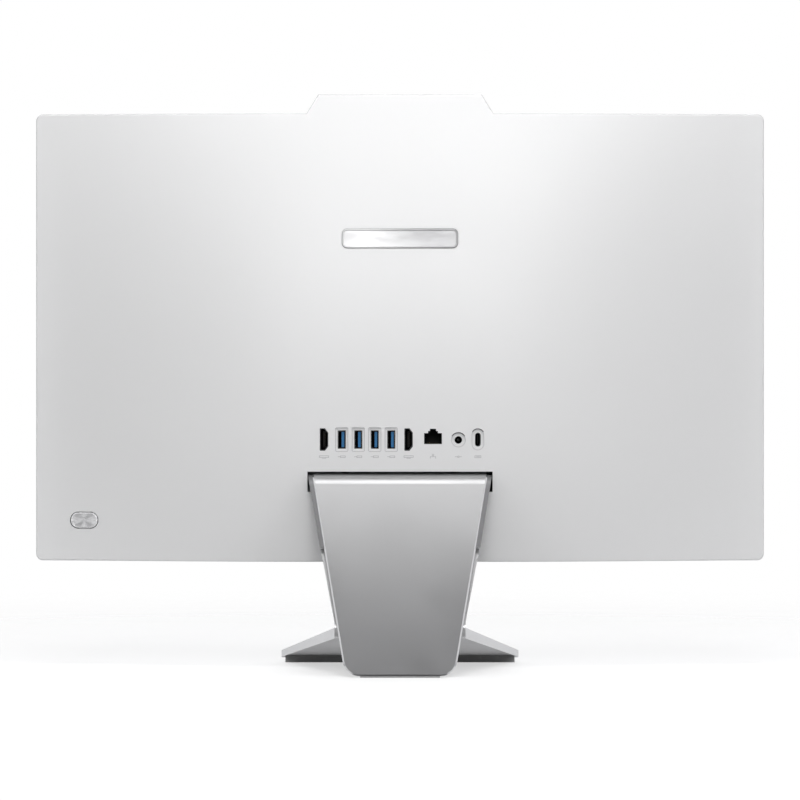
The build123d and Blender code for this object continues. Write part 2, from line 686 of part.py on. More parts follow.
usb_c_outer = slot_face(PORT_FACE_Y, USB_C_X, PORT_ROW_Z, *USB_C_SIZE)
usb_c_inner = slot_face(PORT_FACE_Y, USB_C_X, PORT_ROW_Z, *USB_C_INNER)
save(hollow_shell(usb_c_outer, usb_c_inner), "usb_c_socket")

with BuildPart() as usb_c_tongue:
    block((USB_C_X - 0.35, USB_C_X + 0.35), (SOCKET_BASE_Y, 4.8), (PORT_ROW_Z - 3.3, PORT_ROW_Z + 3.3))
save(usb_c_tongue.part, "usb_c_tongue")

SOCKET_BODY_Y = 5.3

with BuildPart() as ethernet_socket:
    block((ETHERNET_X - 8, ETHERNET_X + 8), (BOARD_BACK_Y, SOCKET_BODY_Y), (163.2, 179.2))
    extrude(ethernet_face(SOCKET_BODY_Y), amount=13, mode=Mode.SUBTRACT)
save(ethernet_socket.part, "ethernet_socket")

with BuildPart() as power_jack:
    block((JACK_X - 5.2, JACK_X + 5.2), (BOARD_BACK_Y, SOCKET_BODY_Y), (JACK_Z - 6, JACK_Z + 6))
    rod(JACK_RADIUS, (-7, SOCKET_BODY_Y), JACK_X, JACK_Z, Mode.SUBTRACT)
save(power_jack.part, "power_jack")

with BuildPart() as power_jack_pin:
    rod(0.8, (-7, 4.6), JACK_X, JACK_Z)
save(power_jack_pin.part, "power_jack_pin")

with BuildPart() as port_shield:
    block((-67, 64), (3.6, 4.4), (158.6, 180.6))
    for socket_x in USB_XS:
        block((socket_x - 3.0, socket_x + 3.0), (3, 5), (PORT_ROW_Z - 6.9, PORT_ROW_Z + 6.9), Mode.SUBTRACT)
    for socket_x in (HDMI_OUT_X, HDMI_IN_X):
        block((socket_x - 3.1, socket_x + 3.1), (3, 5), (PORT_ROW_Z - 8.3, PORT_ROW_Z + 8.3), Mode.SUBTRACT)
    block((ETHERNET_X - 8.2, ETHERNET_X + 8.2), (3, 5), (163.0, 179.4), Mode.SUBTRACT)
    block((JACK_X - 5.4, JACK_X + 5.4), (3, 5), (JACK_Z - 6.2, JACK_Z + 6.2), Mode.SUBTRACT)
    block((USB_C_X - 2.2, USB_C_X + 2.2), (3, 5), (PORT_ROW_Z - 5.2, PORT_ROW_Z + 5.2), Mode.SUBTRACT)
save(port_shield.part, "port_shield")

# ---------------------------------------------------------------- power button and speakers

BUTTON_BACK_Y = -28.8
BUTTON_TRAVEL = 0.8
SWITCH_TIP_Y = BUTTON_BACK_Y - BUTTON_TRAVEL - 0.1
LUG_REACH = 7.4

with BuildPart() as power_button:
    extrude(slot_face(0, BUTTON_X, BUTTON_Z, *BUTTON_SIZE), amount=-BUTTON_BACK_Y)
    add(Pos(0, 0.35, 0) * DOME, mode=Mode.INTERSECT)
    # lugs behind the cover that keep the button in
    lug_y = (BUTTON_BACK_Y, BUTTON_BACK_Y + 0.8)
    block((BUTTON_X - 4, BUTTON_X + 4), lug_y, (BUTTON_Z - LUG_REACH, BUTTON_Z + LUG_REACH))
save(power_button.part, "power_button")

with BuildPart() as power_switch_board:
    block((BUTTON_X - 14, BUTTON_X + 14), CHASSIS_Y, (BUTTON_Z - 7, BUTTON_Z + 7))
    block((BUTTON_X - 3, BUTTON_X + 3), (CHASSIS_BACK_Y, CHASSIS_BACK_Y + 1), (BUTTON_Z - 3, BUTTON_Z + 3))
    rod(1.2, (CHASSIS_BACK_Y + 1, SWITCH_TIP_Y), BUTTON_X, BUTTON_Z)
save(power_switch_board.part, "power_switch_board")

SPEAKER_X = (102.0, 158.0)
SPEAKER_Y = (-30.8, -15.0)
SPEAKER_Z = (85.5, 110.0)


def speaker_box(side):
    """Speaker enclosure on one side: a hollow box with a round mouth in its floor."""
    xs = sorted((side * SPEAKER_X[0], side * SPEAKER_X[1]))
    with BuildPart() as enclosure:
        block(xs, SPEAKER_Y, SPEAKER_Z)
        block(
            (xs[0] + 1.5, xs[1] - 1.5), (SPEAKER_Y[0] + 1.5, SPEAKER_Y[1] - 1.5),
            (SPEAKER_Z[0] + 1.5, SPEAKER_Z[1] - 1.5), Mode.SUBTRACT,
        )
        with Locations((sum(xs) / 2, sum(SPEAKER_Y) / 2, SPEAKER_Z[0])):
            Cylinder(6.0, 6, mode=Mode.SUBTRACT)
    return enclosure.part


save(speaker_box(1), "speaker_right")
save(speaker_box(-1), "speaker_left")

with BuildPart() as speaker_drivers:
    for side in (-1, 1):
        with Locations((side * sum(SPEAKER_X) / 2, sum(SPEAKER_Y) / 2, SPEAKER_Z[0] + 3)):
            Cylinder(5.9, 6)
save(speaker_drivers.part, "speaker_drivers")

# ---------------------------------------------------------------- hinge, on the head

EAR_X = (39.5, 42.5)
BRACKET_Z = (108.0, 147.0)
BRACKET_BACK_Y = CHASSIS_BACK_Y + 2.5
EAR_BOSS = 8.0
PIN_RADIUS = 4.0
PIN_PLAY = 0.06

with BuildPart() as hinge_ear:
    with BuildSketch(side_plane(EAR_X[0])):
        with BuildLine():
            Polyline(
                (BRACKET_BACK_Y, 112), (BRACKET_BACK_Y, 146), (-13, 136), (PIVOT_Y, 136),
                (PIVOT_Y, 123), (-6, 121), close=True,
            )
        make_face()
        with Locations((PIVOT_Y, PIVOT_Z)):
            Circle(EAR_BOSS)
            Circle(PIN_RADIUS + PIN_PLAY, mode=Mode.SUBTRACT)
    extrude(amount=EAR_X[1] - EAR_X[0])

with BuildPart() as hinge_bracket:
    block((-50, 50), (CHASSIS_BACK_Y, BRACKET_BACK_Y), BRACKET_Z)
    add(hinge_ear.part)
    mirror(hinge_ear.part, about=Plane.YZ)
    for x, z in BRACKET_STUDS:
        rod(2.1, (CHASSIS_BACK_Y, BRACKET_BACK_Y), x, z, Mode.SUBTRACT)
save(hinge_bracket.part, "hinge_bracket")

with BuildPart() as bracket_nuts:
    for x, z in BRACKET_STUDS:
        with BuildSketch(at_depth(BRACKET_BACK_Y + 3)):
            with Locations((x, z)):
                RegularPolygon(3.5, 6, major_radius=False)
                Circle(2.0, mode=Mode.SUBTRACT)
        extrude(amount=3)
save(bracket_nuts.part, "bracket_nuts")

# ---------------------------------------------------------------- stand

ROLL_END = 112.0
CHEEK_RADIUS = 13.0
CHEEK_END = 104.0
ARM_X = (33.5, 36.5)
WASHER_X = (ARM_X[1], EAR_X[0] - 0.05)
NUT_X = (EAR_X[1] + 0.05, EAR_X[1] + 4.5)
HEAD_X = (ARM_X[0] - 3.0, ARM_X[0])
ARM_BOSS = 7.0
FLANGE_DEPTH = 3.0
HOOD_DEPTH = 7.0
HOOD_POCKET = 5.4
HOOD_TOP_Z = 122.5
HOOD_BOTTOM_Z = 91.0
TAB_TOP_Z = 90.0
FLANGE_Z_SPAN = (101.0, 125.5)
FLANGE_SCREWS = [(x, 111) for x in (-42.5, -27.5, 27.5, 42.5)]
TAB_SCREWS = [(x, z) for x in (-22, 22) for z in (52, 76)]
SCREW_RADIUS = 2.0
SCREW_BITE = 3.4
NECK_BEVEL = 1.2


def slope_point(depth, z):
    """(y, z) of a point at height z, this deep below the neck's outer surface."""
    y_out = NECK_OUT_Y + (NECK_OUT_Z - z) * LEAN_TAN
    return (y_out - depth / LEAN_COS, z)


def roll_point(radius, degrees):
    """(y, z) of a point on the roll about the hinge axis."""
    angle = math.radians(degrees)
    return (PIVOT_Y + radius * math.cos(angle), PIVOT_Z + radius * math.sin(angle))


def neck_half(z):
    """Half of the neck's width at height z."""
    return NECK_HALF - NECK_TAPER * (NECK_HALF_Z - z)


def neck_front_view(low, high, extra, corner=0.0):
    """Upright face with the neck's tapered outline, wider by extra on each side."""
    with BuildSketch(Plane.XZ) as view:
        with BuildLine():
            Polyline(
                (-neck_half(low) - extra, low), (neck_half(low) + extra, low),
                (neck_half(high) + extra, high), (-neck_half(high) - extra, high), close=True,
            )
        make_face()
        if corner:
            fillet(view.vertices().group_by(Axis.Y)[0], corner)
    return view.sketch


def inner_place(x, z):
    """Place on the neck's inner face at height z, its Z axis square to the face, outwards."""
    y, z = slope_point(NECK_PLATE, z)
    return Plane(origin=(x, y, z), x_dir=(1, 0, 0), z_dir=(0, LEAN_COS, LEAN_SIN)).location


def neck_screw(x, z, grip, head_radius, head_height):
    """Screw from inside through a sheet of thickness grip into the neck."""
    with Locations(inner_place(x, z)):
        with Locations((0, 0, (SCREW_BITE - 0.2 - grip) / 2)):
            Cylinder(SCREW_RADIUS, SCREW_BITE - 0.2 + grip)
        with Locations((0, 0, -grip - head_height / 2)):
            Cylinder(head_radius, head_height)
        with Locations((0, 0, -grip - head_height)):
            Cylinder(1.3, 2.0, mode=Mode.SUBTRACT)


with BuildPart() as stand_rear_plate:
    with BuildSketch(side_plane(0)):
        with BuildLine():
            CenterArc((PIVOT_Y, PIVOT_Z), ROLL_RADIUS, NECK_LEAN, ROLL_END - NECK_LEAN)
            Line(roll_point(ROLL_RADIUS, ROLL_END), roll_point(ROLL_RADIUS - NECK_PLATE, ROLL_END))
            CenterArc((PIVOT_Y, PIVOT_Z), ROLL_RADIUS - NECK_PLATE, NECK_LEAN, ROLL_END - NECK_LEAN)
            Polyline(
                roll_point(ROLL_RADIUS - NECK_PLATE, NECK_LEAN), slope_point(NECK_PLATE, REAR_PAD),
                slope_point(0, REAR_PAD), roll_point(ROLL_RADIUS, NECK_LEAN),
            )
        make_face()
    extrude(amount=80, both=True)
    plate_view = neck_front_view(REAR_PAD, 150, 0.0, NECK_CORNER)
    extrude(plate_view, amount=120, both=True, mode=Mode.INTERSECT)
    # bright bevel along the sides of the outer face, from the roll down round the corners
    flat_back = stand_rear_plate.faces().sort_by(Axis((0, 0, 0), (0, LEAN_COS, LEAN_SIN)))[-1]
    roll_back = stand_rear_plate.faces().filter_by(GeomType.CYLINDER).sort_by(SortBy.AREA)[-1]
    back_edges = flat_back.edges() + roll_back.edges()
    chamfer(back_edges.filter_by(lambda edge: abs(edge.center().X) > 1), NECK_BEVEL)
    for x, z in FLANGE_SCREWS + TAB_SCREWS:
        with Locations(inner_place(x, z)):
            Cylinder(SCREW_RADIUS, 2 * SCREW_BITE, mode=Mode.SUBTRACT)
save(stand_rear_plate.part, "stand_rear_plate")

with BuildPart() as hinge_arm:
    with BuildSketch(side_plane(ARM_X[0])):
        with BuildLine():
            Polyline(
                (0.5, 124.0), (10.5, 132.3), slope_point(NECK_PLATE, 123.0),
                slope_point(NECK_PLATE, 104.0), (14.5, 111.5), close=True,
            )
        make_face()
        with Locations((PIVOT_Y, PIVOT_Z)):
            Circle(ARM_BOSS)
    extrude(amount=ARM_X[1] - ARM_X[0])
    # flange that lies on the neck's inner face
    with BuildSketch(side_plane(ARM_X[0] - 11)):
        with BuildLine():
            Polyline(
                slope_point(NECK_PLATE, FLANGE_Z_SPAN[1]), slope_point(NECK_PLATE, FLANGE_Z_SPAN[0]),
                slope_point(NECK_PLATE + FLANGE_DEPTH, FLANGE_Z_SPAN[0]),
                slope_point(NECK_PLATE + FLANGE_DEPTH, FLANGE_Z_SPAN[1]), close=True,
            )
        make_face()
    extrude(amount=25)
    cross_bar(PIN_RADIUS, (ARM_X[0] - 1, ARM_X[1] + 1), PIVOT_Y, PIVOT_Z, Mode.SUBTRACT)
    for x, z in FLANGE_SCREWS:
        with Locations(inner_place(x, z)):
            Cylinder(SCREW_RADIUS, 20, mode=Mode.SUBTRACT)
save(mirrored(hinge_arm.part), "hinge_arms")

with BuildPart() as hinge_pin:
    cross_bar(PIN_RADIUS, (HEAD_X[0], NUT_X[1] + 1.5), PIVOT_Y, PIVOT_Z)
    cross_bar(6.0, HEAD_X, PIVOT_Y, PIVOT_Z)
save(mirrored(hinge_pin.part), "hinge_pins")

with BuildPart() as hinge_washer:
    cross_bar(ARM_BOSS, WASHER_X, PIVOT_Y, PIVOT_Z)
    cross_bar(PIN_RADIUS, WASHER_X, PIVOT_Y, PIVOT_Z, Mode.SUBTRACT)
save(mirrored(hinge_washer.part), "hinge_washers")

with BuildPart() as hinge_nut:
    with BuildSketch(side_plane(NUT_X[0])):
        with Locations((PIVOT_Y, PIVOT_Z)):
            RegularPolygon(6.5, 6, major_radius=False)
            Circle(PIN_RADIUS, mode=Mode.SUBTRACT)
    extrude(amount=NUT_X[1] - NUT_X[0])
save(mirrored(hinge_nut.part), "hinge_nuts")

with BuildPart() as neck_inner_cover:
    with BuildSketch(side_plane(0)):
        with BuildLine():
            CenterArc((PIVOT_Y, PIVOT_Z), CHEEK_RADIUS, NECK_LEAN, CHEEK_END - NECK_LEAN)
            Line(roll_point(CHEEK_RADIUS, CHEEK_END), roll_point(ROLL_RADIUS - NECK_PLATE, CHEEK_END))
            CenterArc((PIVOT_Y, PIVOT_Z), ROLL_RADIUS - NECK_PLATE, NECK_LEAN, CHEEK_END - NECK_LEAN)
            Polyline(
                roll_point(ROLL_RADIUS - NECK_PLATE, NECK_LEAN), slope_point(NECK_PLATE, HOOD_TOP_Z),
                slope_point(NECK_PLATE + HOOD_DEPTH, HOOD_TOP_Z),
                slope_point(NECK_PLATE + HOOD_DEPTH, HOOD_BOTTOM_Z),
                slope_point(ROLL_RADIUS - CHEEK_RADIUS, HOOD_BOTTOM_Z),
                roll_point(CHEEK_RADIUS, NECK_LEAN),
            )
        make_face()
    extrude(amount=80, both=True)
    hood_view = neck_front_view(HOOD_BOTTOM_Z, 150, CHEEK_PROUD)
    extrude(hood_view, amount=120, both=True, mode=Mode.INTERSECT)
    add(stand_rear_plate.part, mode=Mode.SUBTRACT)
    # room for the hinge arms and their flanges
    with BuildSketch(side_plane(0)):
        with BuildLine():
            Polyline(
                slope_point(0, FLANGE_Z_SPAN[0] - 2), slope_point(0, HOOD_TOP_Z + 4),
                slope_point(NECK_PLATE + HOOD_POCKET, HOOD_TOP_Z + 4),
                slope_point(NECK_PLATE + HOOD_POCKET, FLANGE_Z_SPAN[0] - 2), close=True,
            )
        make_face()
    extrude(amount=50, both=True, mode=Mode.SUBTRACT)
    for side in (-1, 1):
        slot_x = sorted((side * (ARM_X[0] - 0.4), side * (ARM_X[1] + 0.4)))
        block(slot_x, (0, 40), (FLANGE_Z_SPAN[0], 140), Mode.SUBTRACT)
save(neck_inner_cover.part, "neck_inner_cover")


def bend_point(depth, lift, slope):
    """(y, z) where the plane this deep below the neck meets a foot plane of this lift and slope."""
    reach = NECK_OUT_Y + NECK_OUT_Z * LEAN_TAN - depth / LEAN_COS
    base = lift - FRONT_FOOT_Y * slope
    y = (reach - LEAN_TAN * base) / (1 + LEAN_TAN * slope)
    return (y, base + y * slope)


def foot_underside(y):
    """Height of the front foot's lower surface at depth y."""
    return FRONT_PAD + (y - FRONT_FOOT_Y) * FOOT_TAN


FOOT_SPLIT_Z = 38.0
FOOT_PROUD = 1.4
FOOT_NECK_Y = 60.0
FOOT_CUT_Y = 80.0
BEND_BACK = bend_point(NECK_PLATE, FRONT_PAD, FOOT_TAN)
BEND_FRONT = bend_point(NECK_PLATE + FOOT_TONGUE, FRONT_PAD + FOOT_TIP, FOOT_TOP_TAN)
BEND_BACK_ROUND = 7.0
BEND_FRONT_ROUND = 4.0
FOOT_TIP_ROUND = 4.0
FOOT_NECK_ROUND = 14.0


def bent_sheet():
    """The front foot's sheet before trimming: a tongue up the neck and a slab to the front."""
    with BuildPart() as sheet:
        with BuildSketch(side_plane(0)) as profile:
            with BuildLine():
                Polyline(
                    slope_point(NECK_PLATE, TAB_TOP_Z), BEND_BACK, (FRONT_FOOT_Y, FRONT_PAD),
                    (FRONT_FOOT_Y, FRONT_PAD + FOOT_TIP), BEND_FRONT,
                    slope_point(NECK_PLATE + FOOT_TONGUE, TAB_TOP_Z), close=True,
                )
            make_face()
            fillet(profile.vertices().sort_by_distance(BEND_BACK)[0], BEND_BACK_ROUND)
            fillet(profile.vertices().sort_by_distance(BEND_FRONT)[0], BEND_FRONT_ROUND)
        extrude(amount=100, both=True)
    return sheet.part


SHEET = bent_sheet()
FOOT_BACK_HALF = neck_half(FOOT_SPLIT_Z) + FOOT_PROUD
TONGUE_TOP_HALF = neck_half(TAB_TOP_Z) + TAB_PROUD

with BuildPart() as foot_tongue:
    add(SHEET)
    with BuildSketch(Plane.XZ) as tongue_view:
        with BuildLine():
            Polyline(
                (-FOOT_BACK_HALF, FOOT_SPLIT_Z), (FOOT_BACK_HALF, FOOT_SPLIT_Z),
                (TONGUE_TOP_HALF, TAB_TOP_Z), (-TONGUE_TOP_HALF, TAB_TOP_Z), close=True,
            )
        make_face()
    extrude(amount=120, both=True, mode=Mode.INTERSECT)

with BuildPart() as foot_slab:
    add(SHEET)
    with BuildSketch(Plane.XY) as plan:
        with BuildLine():
            Polyline(
                (-FOOT_BACK_HALF, FOOT_CUT_Y), (-FOOT_BACK_HALF, FOOT_NECK_Y),
                (-FOOT_HALF_FRONT, FRONT_FOOT_Y), (FOOT_HALF_FRONT, FRONT_FOOT_Y),
                (FOOT_BACK_HALF, FOOT_NECK_Y), (FOOT_BACK_HALF, FOOT_CUT_Y), close=True,
            )
        make_face()
        fillet(plan.vertices().group_by(Axis.Y)[0], FOOT_TIP_ROUND)
        neck_corners = plan.vertices().filter_by(lambda corner: abs(corner.Y - FOOT_NECK_Y) < 1)
        fillet(neck_corners, FOOT_NECK_ROUND)
    extrude(amount=FOOT_SPLIT_Z, mode=Mode.INTERSECT)

with BuildPart() as stand_front_foot:
    add(foot_slab.part)
    add(foot_tongue.part)
    for x, z in TAB_SCREWS:
        with Locations(inner_place(x, z)):
            Cylinder(SCREW_RADIUS, 12, mode=Mode.SUBTRACT)
save(stand_front_foot.part, "stand_front_foot")

with BuildPart() as stand_screws:
    for x, z in FLANGE_SCREWS:
        neck_screw(x, z, FLANGE_DEPTH, 3.4, 1.8)
    for x, z in TAB_SCREWS:
        neck_screw(x, z, FOOT_TONGUE, 3.8, 2.2)
save(stand_screws.part, "stand_screws")

with BuildPart() as rear_foot_pad:
    block((-28.5, 28.5), (REAR_Y - 5.5, REAR_Y - 0.1), (0, REAR_PAD))
save(rear_foot_pad.part, "rear_foot_pad")

with BuildPart() as front_foot_pad:
    pad_front = FRONT_FOOT_Y + 1.0
    pad_back = FRONT_FOOT_Y + 11.0
    with BuildSketch(side_plane(0)):
        with BuildLine():
            Polyline(
                (pad_front, 0), (pad_back, 0), (pad_back, foot_underside(pad_back)),
                (pad_front, foot_underside(pad_front)), close=True,
            )
        make_face()
    extrude(amount=86.5, both=True)
save(front_foot_pad.part, "front_foot_pad")
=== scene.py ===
import json
import math

import bmesh
import bpy
from mathutils import Matrix, Vector


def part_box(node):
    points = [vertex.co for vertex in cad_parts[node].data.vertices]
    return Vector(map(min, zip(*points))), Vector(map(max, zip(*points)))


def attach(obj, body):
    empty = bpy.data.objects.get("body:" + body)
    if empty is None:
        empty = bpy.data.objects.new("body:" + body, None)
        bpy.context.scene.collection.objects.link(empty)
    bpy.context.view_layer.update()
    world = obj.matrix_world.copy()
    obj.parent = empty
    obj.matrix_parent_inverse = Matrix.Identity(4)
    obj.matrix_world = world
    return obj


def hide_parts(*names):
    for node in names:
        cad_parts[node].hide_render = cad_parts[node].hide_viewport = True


# An all-in-one computer on a folded metal stand, seen from behind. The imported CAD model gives
# every shape and place; this script adds materials, the fine pieces, the studio and the camera.
# Metres, in the model's own frame: the back faces +Y, the floor is z = 0.

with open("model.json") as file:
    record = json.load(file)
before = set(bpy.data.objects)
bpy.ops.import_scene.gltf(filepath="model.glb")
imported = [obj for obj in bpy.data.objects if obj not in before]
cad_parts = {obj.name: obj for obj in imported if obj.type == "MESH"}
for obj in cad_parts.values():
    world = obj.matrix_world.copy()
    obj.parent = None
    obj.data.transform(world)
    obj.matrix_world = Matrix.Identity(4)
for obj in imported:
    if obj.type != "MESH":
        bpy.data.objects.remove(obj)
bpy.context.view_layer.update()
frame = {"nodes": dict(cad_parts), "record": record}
MM = 0.001

# ---------------------------------------------------------------- studio

CAMERA_PLACE = (0.0, 2.970, 0.198)
CAMERA_LENS = 181.8
SENSOR = 36.0
CLIP_END = 50.0
AIM = (0.0, 0.0, 0.25)
FLOOR_RADIUS = 1.3
FLOOR_SIDES = 96
FLOOR_SOLID = 0.20
FLOOR_STRENGTH = 0.55
ROOM_LIGHT = 0.05
BACKDROP_LIGHT = 1.3
BACKDROP_EDGE = -0.45
ROOM_EDGE = 0.10
FLOOR_GLOW = 0.16
BACKDROP_TINT = (0.98, 0.985, 1.0, 1.0)
WHITE = (1.0, 1.0, 1.0)

# Name, place, aim, size, power in watts, colour.
SOFTBOXES = (
    ("camera_fill", (0.0, 3.2, 1.5), AIM, (1.6, 1.0), 31.0, WHITE),
    ("top_near", (0.0, 0.30, 0.95), (0.0, 0.04, 0.10), (0.7, 0.4), 3.6, WHITE),
    ("front_key", (-0.15, 1.3, 0.80), (-0.05, 0.0, 0.36), (0.5, 0.4), 1.8, WHITE),
    ("left_fill", (1.9, 1.2, 1.2), AIM, (1.0, 1.4), 8.0, WHITE),
    ("right_fill", (-1.9, 1.2, 1.2), AIM, (1.0, 1.4), 10.5, (0.98, 0.975, 1.0)),
)


def studio_camera():
    """Level camera straight behind the object, as far off as a long lens needs."""
    data = bpy.data.cameras.new("camera")
    data.lens = CAMERA_LENS
    data.sensor_width = SENSOR
    data.clip_end = CLIP_END
    camera = bpy.data.objects.new("camera", data)
    camera.location = CAMERA_PLACE
    camera.rotation_euler = (math.pi / 2, 0.0, math.pi)
    bpy.context.scene.collection.objects.link(camera)
    bpy.context.scene.camera = camera


def softbox(name, place, aim, size, power, shade):
    """Rectangular studio light at a place, turned to face the aim."""
    data = bpy.data.lights.new(name, "AREA")
    data.shape = "RECTANGLE"
    data.size = size[0]
    data.size_y = size[1]
    data.energy = power
    data.color = shade
    light = bpy.data.objects.new(name, data)
    light.location = place
    light.rotation_euler = (Vector(aim) - Vector(place)).to_track_quat("-Z", "Y").to_euler()
    bpy.context.scene.collection.objects.link(light)


def studio_world():
    """White surroundings; as a light, a bright backdrop in front and a dim room behind."""
    world = bpy.data.worlds.new("studio")
    bpy.context.scene.world = world
    world.use_nodes = True
    nodes = world.node_tree.nodes
    links = world.node_tree.links
    direction = nodes.new("ShaderNodeSeparateXYZ")
    links.new(nodes.new("ShaderNodeTexCoord").outputs["Generated"], direction.inputs["Vector"])
    turn = nodes.new("ShaderNodeMapRange")
    turn.interpolation_type = "SMOOTHSTEP"
    turn.inputs["From Min"].default_value = BACKDROP_EDGE
    turn.inputs["From Max"].default_value = ROOM_EDGE
    turn.inputs["To Min"].default_value = BACKDROP_LIGHT
    turn.inputs["To Max"].default_value = ROOM_LIGHT
    links.new(direction.outputs["Y"], turn.inputs["Value"])
    seen = nodes["Background"]
    seen.inputs["Color"].default_value = (*WHITE, 1.0)
    seen.inputs["Strength"].default_value = 1.0
    lit = nodes.new("ShaderNodeBackground")
    lit.inputs["Color"].default_value = BACKDROP_TINT
    links.new(turn.outputs["Result"], lit.inputs["Strength"])
    rays = nodes.new("ShaderNodeLightPath")
    pick = nodes.new("ShaderNodeMixShader")
    links.new(rays.outputs["Is Camera Ray"], pick.inputs["Fac"])
    links.new(lit.outputs["Background"], pick.inputs[1])
    links.new(seen.outputs["Background"], pick.inputs[2])
    links.new(pick.outputs["Shader"], nodes["World Output"].inputs["Surface"])


# ---------------------------------------------------------------- material building

NOISE_LOW = 0.3
NOISE_HIGH = 0.7
MOULD_GRAIN = 1400.0
MOULD_DEPTH = 0.03 * MM
METAL_GRAIN = 600.0
METAL_DEPTH = 0.01 * MM
SCRATCH_STRETCH = (1.0, 1.0, 0.05)


class Paint:
    """One node material: a Principled shader and shorthand for the nodes that feed it."""

    def __init__(self, name, colour, roughness, metallic=0.0, **sockets):
        self.material = bpy.data.materials.new(name)
        self.material.use_nodes = True
        self.nodes = self.material.node_tree.nodes
        self.links = self.material.node_tree.links
        self.shader = self.nodes["Principled BSDF"]
        self.shader.inputs["Base Color"].default_value = (*colour, 1.0)
        self.shader.inputs["Roughness"].default_value = roughness
        self.shader.inputs["Metallic"].default_value = metallic
        for socket, value in sockets.items():
            self.shader.inputs[socket.replace("_", " ")].default_value = value
        self.place = self.nodes.new("ShaderNodeTexCoord").outputs["Object"]

    def join(self, source, target):
        """Link an output to an input, or set the input where the source is a number."""
        if isinstance(source, (int, float)):
            target.default_value = source
        else:
            self.links.new(source, target)

    def maths(self, operation, first, second=0.0, third=0.0):
        """Result of one Math node."""
        node = self.nodes.new("ShaderNodeMath")
        node.operation = operation
        for value, target in zip((first, second, third), node.inputs):
            self.join(value, target)
        return node.outputs["Value"]

    def axis(self, name, source=None):
        """One coordinate, X, Y or Z, of the place on the object."""
        node = self.nodes.new("ShaderNodeSeparateXYZ")
        self.links.new(source or self.place, node.inputs["Vector"])
        return node.outputs[name]

    def stretched(self, scales):
        """The place on the object with each axis multiplied by its scale."""
        node = self.nodes.new("ShaderNodeMapping")
        self.links.new(self.place, node.inputs["Vector"])
        node.inputs["Scale"].default_value = scales
        return node.outputs["Vector"]

    def noise(self, scale, detail=3.0, place=None):
        """Soft noise from 0 to 1; scale is features per metre."""
        node = self.nodes.new("ShaderNodeTexNoise")
        self.links.new(place or self.place, node.inputs["Vector"])
        node.inputs["Scale"].default_value = scale
        node.inputs["Detail"].default_value = detail
        return node.outputs["Fac"]

    def cells(self, scale, feature="F1"):
        """Distance to the nearest point, or edge, of a scattered set of cells."""
        node = self.nodes.new("ShaderNodeTexVoronoi")
        node.feature = feature
        self.links.new(self.place, node.inputs["Vector"])
        node.inputs["Scale"].default_value = scale
        return node.outputs["Distance"]

    def span(self, value, low, high, start=0.0, end=1.0):
        """The value's stretch from low to high, carried to start to end and held there."""
        node = self.nodes.new("ShaderNodeMapRange")
        node.interpolation_type = "SMOOTHSTEP"
        limits = {"From Min": low, "From Max": high, "To Min": start, "To Max": end}
        for socket, number in limits.items():
            node.inputs[socket].default_value = number
        self.join(value, node.inputs["Value"])
        return node.outputs["Result"]

    def blend(self, amount, first, second):
        """Colour between two colours; each is a colour or another node's output."""
        node = self.nodes.new("ShaderNodeMix")
        node.data_type = "RGBA"
        self.join(amount, node.inputs[0])
        for value, target in ((first, node.inputs[6]), (second, node.inputs[7])):
            if isinstance(value, tuple):
                target.default_value = (*value, 1.0)
            else:
                self.links.new(value, target)
        return node.outputs[2]

    def colour(self, source):
        """Feed the base colour."""
        self.links.new(source, self.shader.inputs["Base Color"])

    def rough(self, source):
        """Feed the roughness."""
        self.links.new(source, self.shader.inputs["Roughness"])

    def wander(self, drift, middle, swing):
        """A value about a middle that follows slow noise by at most a swing."""
        return self.span(drift, NOISE_LOW, NOISE_HIGH, middle - swing, middle + swing)

    def relief(self, height, depth, strength):
        """Bump of a depth in metres from a 0 to 1 height."""
        node = self.nodes.new("ShaderNodeBump")
        node.inputs["Strength"].default_value = strength
        node.inputs["Distance"].default_value = depth
        self.links.new(height, node.inputs["Height"])
        self.links.new(node.outputs["Normal"], self.shader.inputs["Normal"])


def mottled(paint, colour, roughness, shift, swing, scale):
    """Slow, faint wander of colour and roughness, as in any moulded or coated surface."""
    drift = paint.noise(scale)
    darker = tuple(channel * (1.0 - shift) for channel in colour)
    paint.colour(paint.blend(drift, darker, colour))
    paint.rough(paint.wander(drift, roughness, swing))


def moulded(name, colour, roughness, **sockets):
    """Moulded plastic: spark-eroded grain, with a slow wander in tone and gloss."""
    paint = Paint(name, colour, roughness, **sockets)
    mottled(paint, colour, roughness, shift=0.03, swing=0.04, scale=9.0)
    paint.relief(paint.noise(MOULD_GRAIN, 2.0), MOULD_DEPTH, 0.6)
    return paint.material


def plated(name, colour, roughness, metallic=1.0):
    """Plated or bare metal: fine blotches in the gloss and light scratches along Z."""
    paint = Paint(name, colour, roughness, metallic)
    mottled(paint, colour, roughness, shift=0.08, swing=0.06, scale=60.0)
    scratches = paint.noise(METAL_GRAIN, 4.0, paint.stretched(SCRATCH_STRETCH))
    paint.relief(scratches, METAL_DEPTH, 0.5)
    return paint.material


# ---------------------------------------------------------------- materials

SATIN_SWING = 0.03
LIP_DEPTH = 0.4 * MM
DARK_DEPTH = 2.2 * MM
# Near black of the painted shade deep inside the sockets.
SOCKET_PAINTED_SHADE = (0.006, 0.006, 0.007)
SOCKET_WORN = 0.92


def socket_metal(name, colour, roughness, node):
    """Plated socket shell: bright at the node's lip, with painted shade that darkens it to near
    black deeper in.
    """
    paint = Paint(name, colour, roughness, 1.0)
    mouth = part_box(node)[1].y
    depth = paint.maths("SUBTRACT", mouth, paint.axis("Y"))
    # Painted shade: the shell's colour darkens with depth behind the mouth.
    inside = paint.span(depth, LIP_DEPTH, DARK_DEPTH)
    worn = paint.blend(paint.noise(60.0), tuple(channel * SOCKET_WORN for channel in colour), colour)
    paint.colour(paint.blend(inside, worn, SOCKET_PAINTED_SHADE))
    paint.relief(paint.noise(METAL_GRAIN, 4.0), METAL_DEPTH, 0.5)
    return paint.material


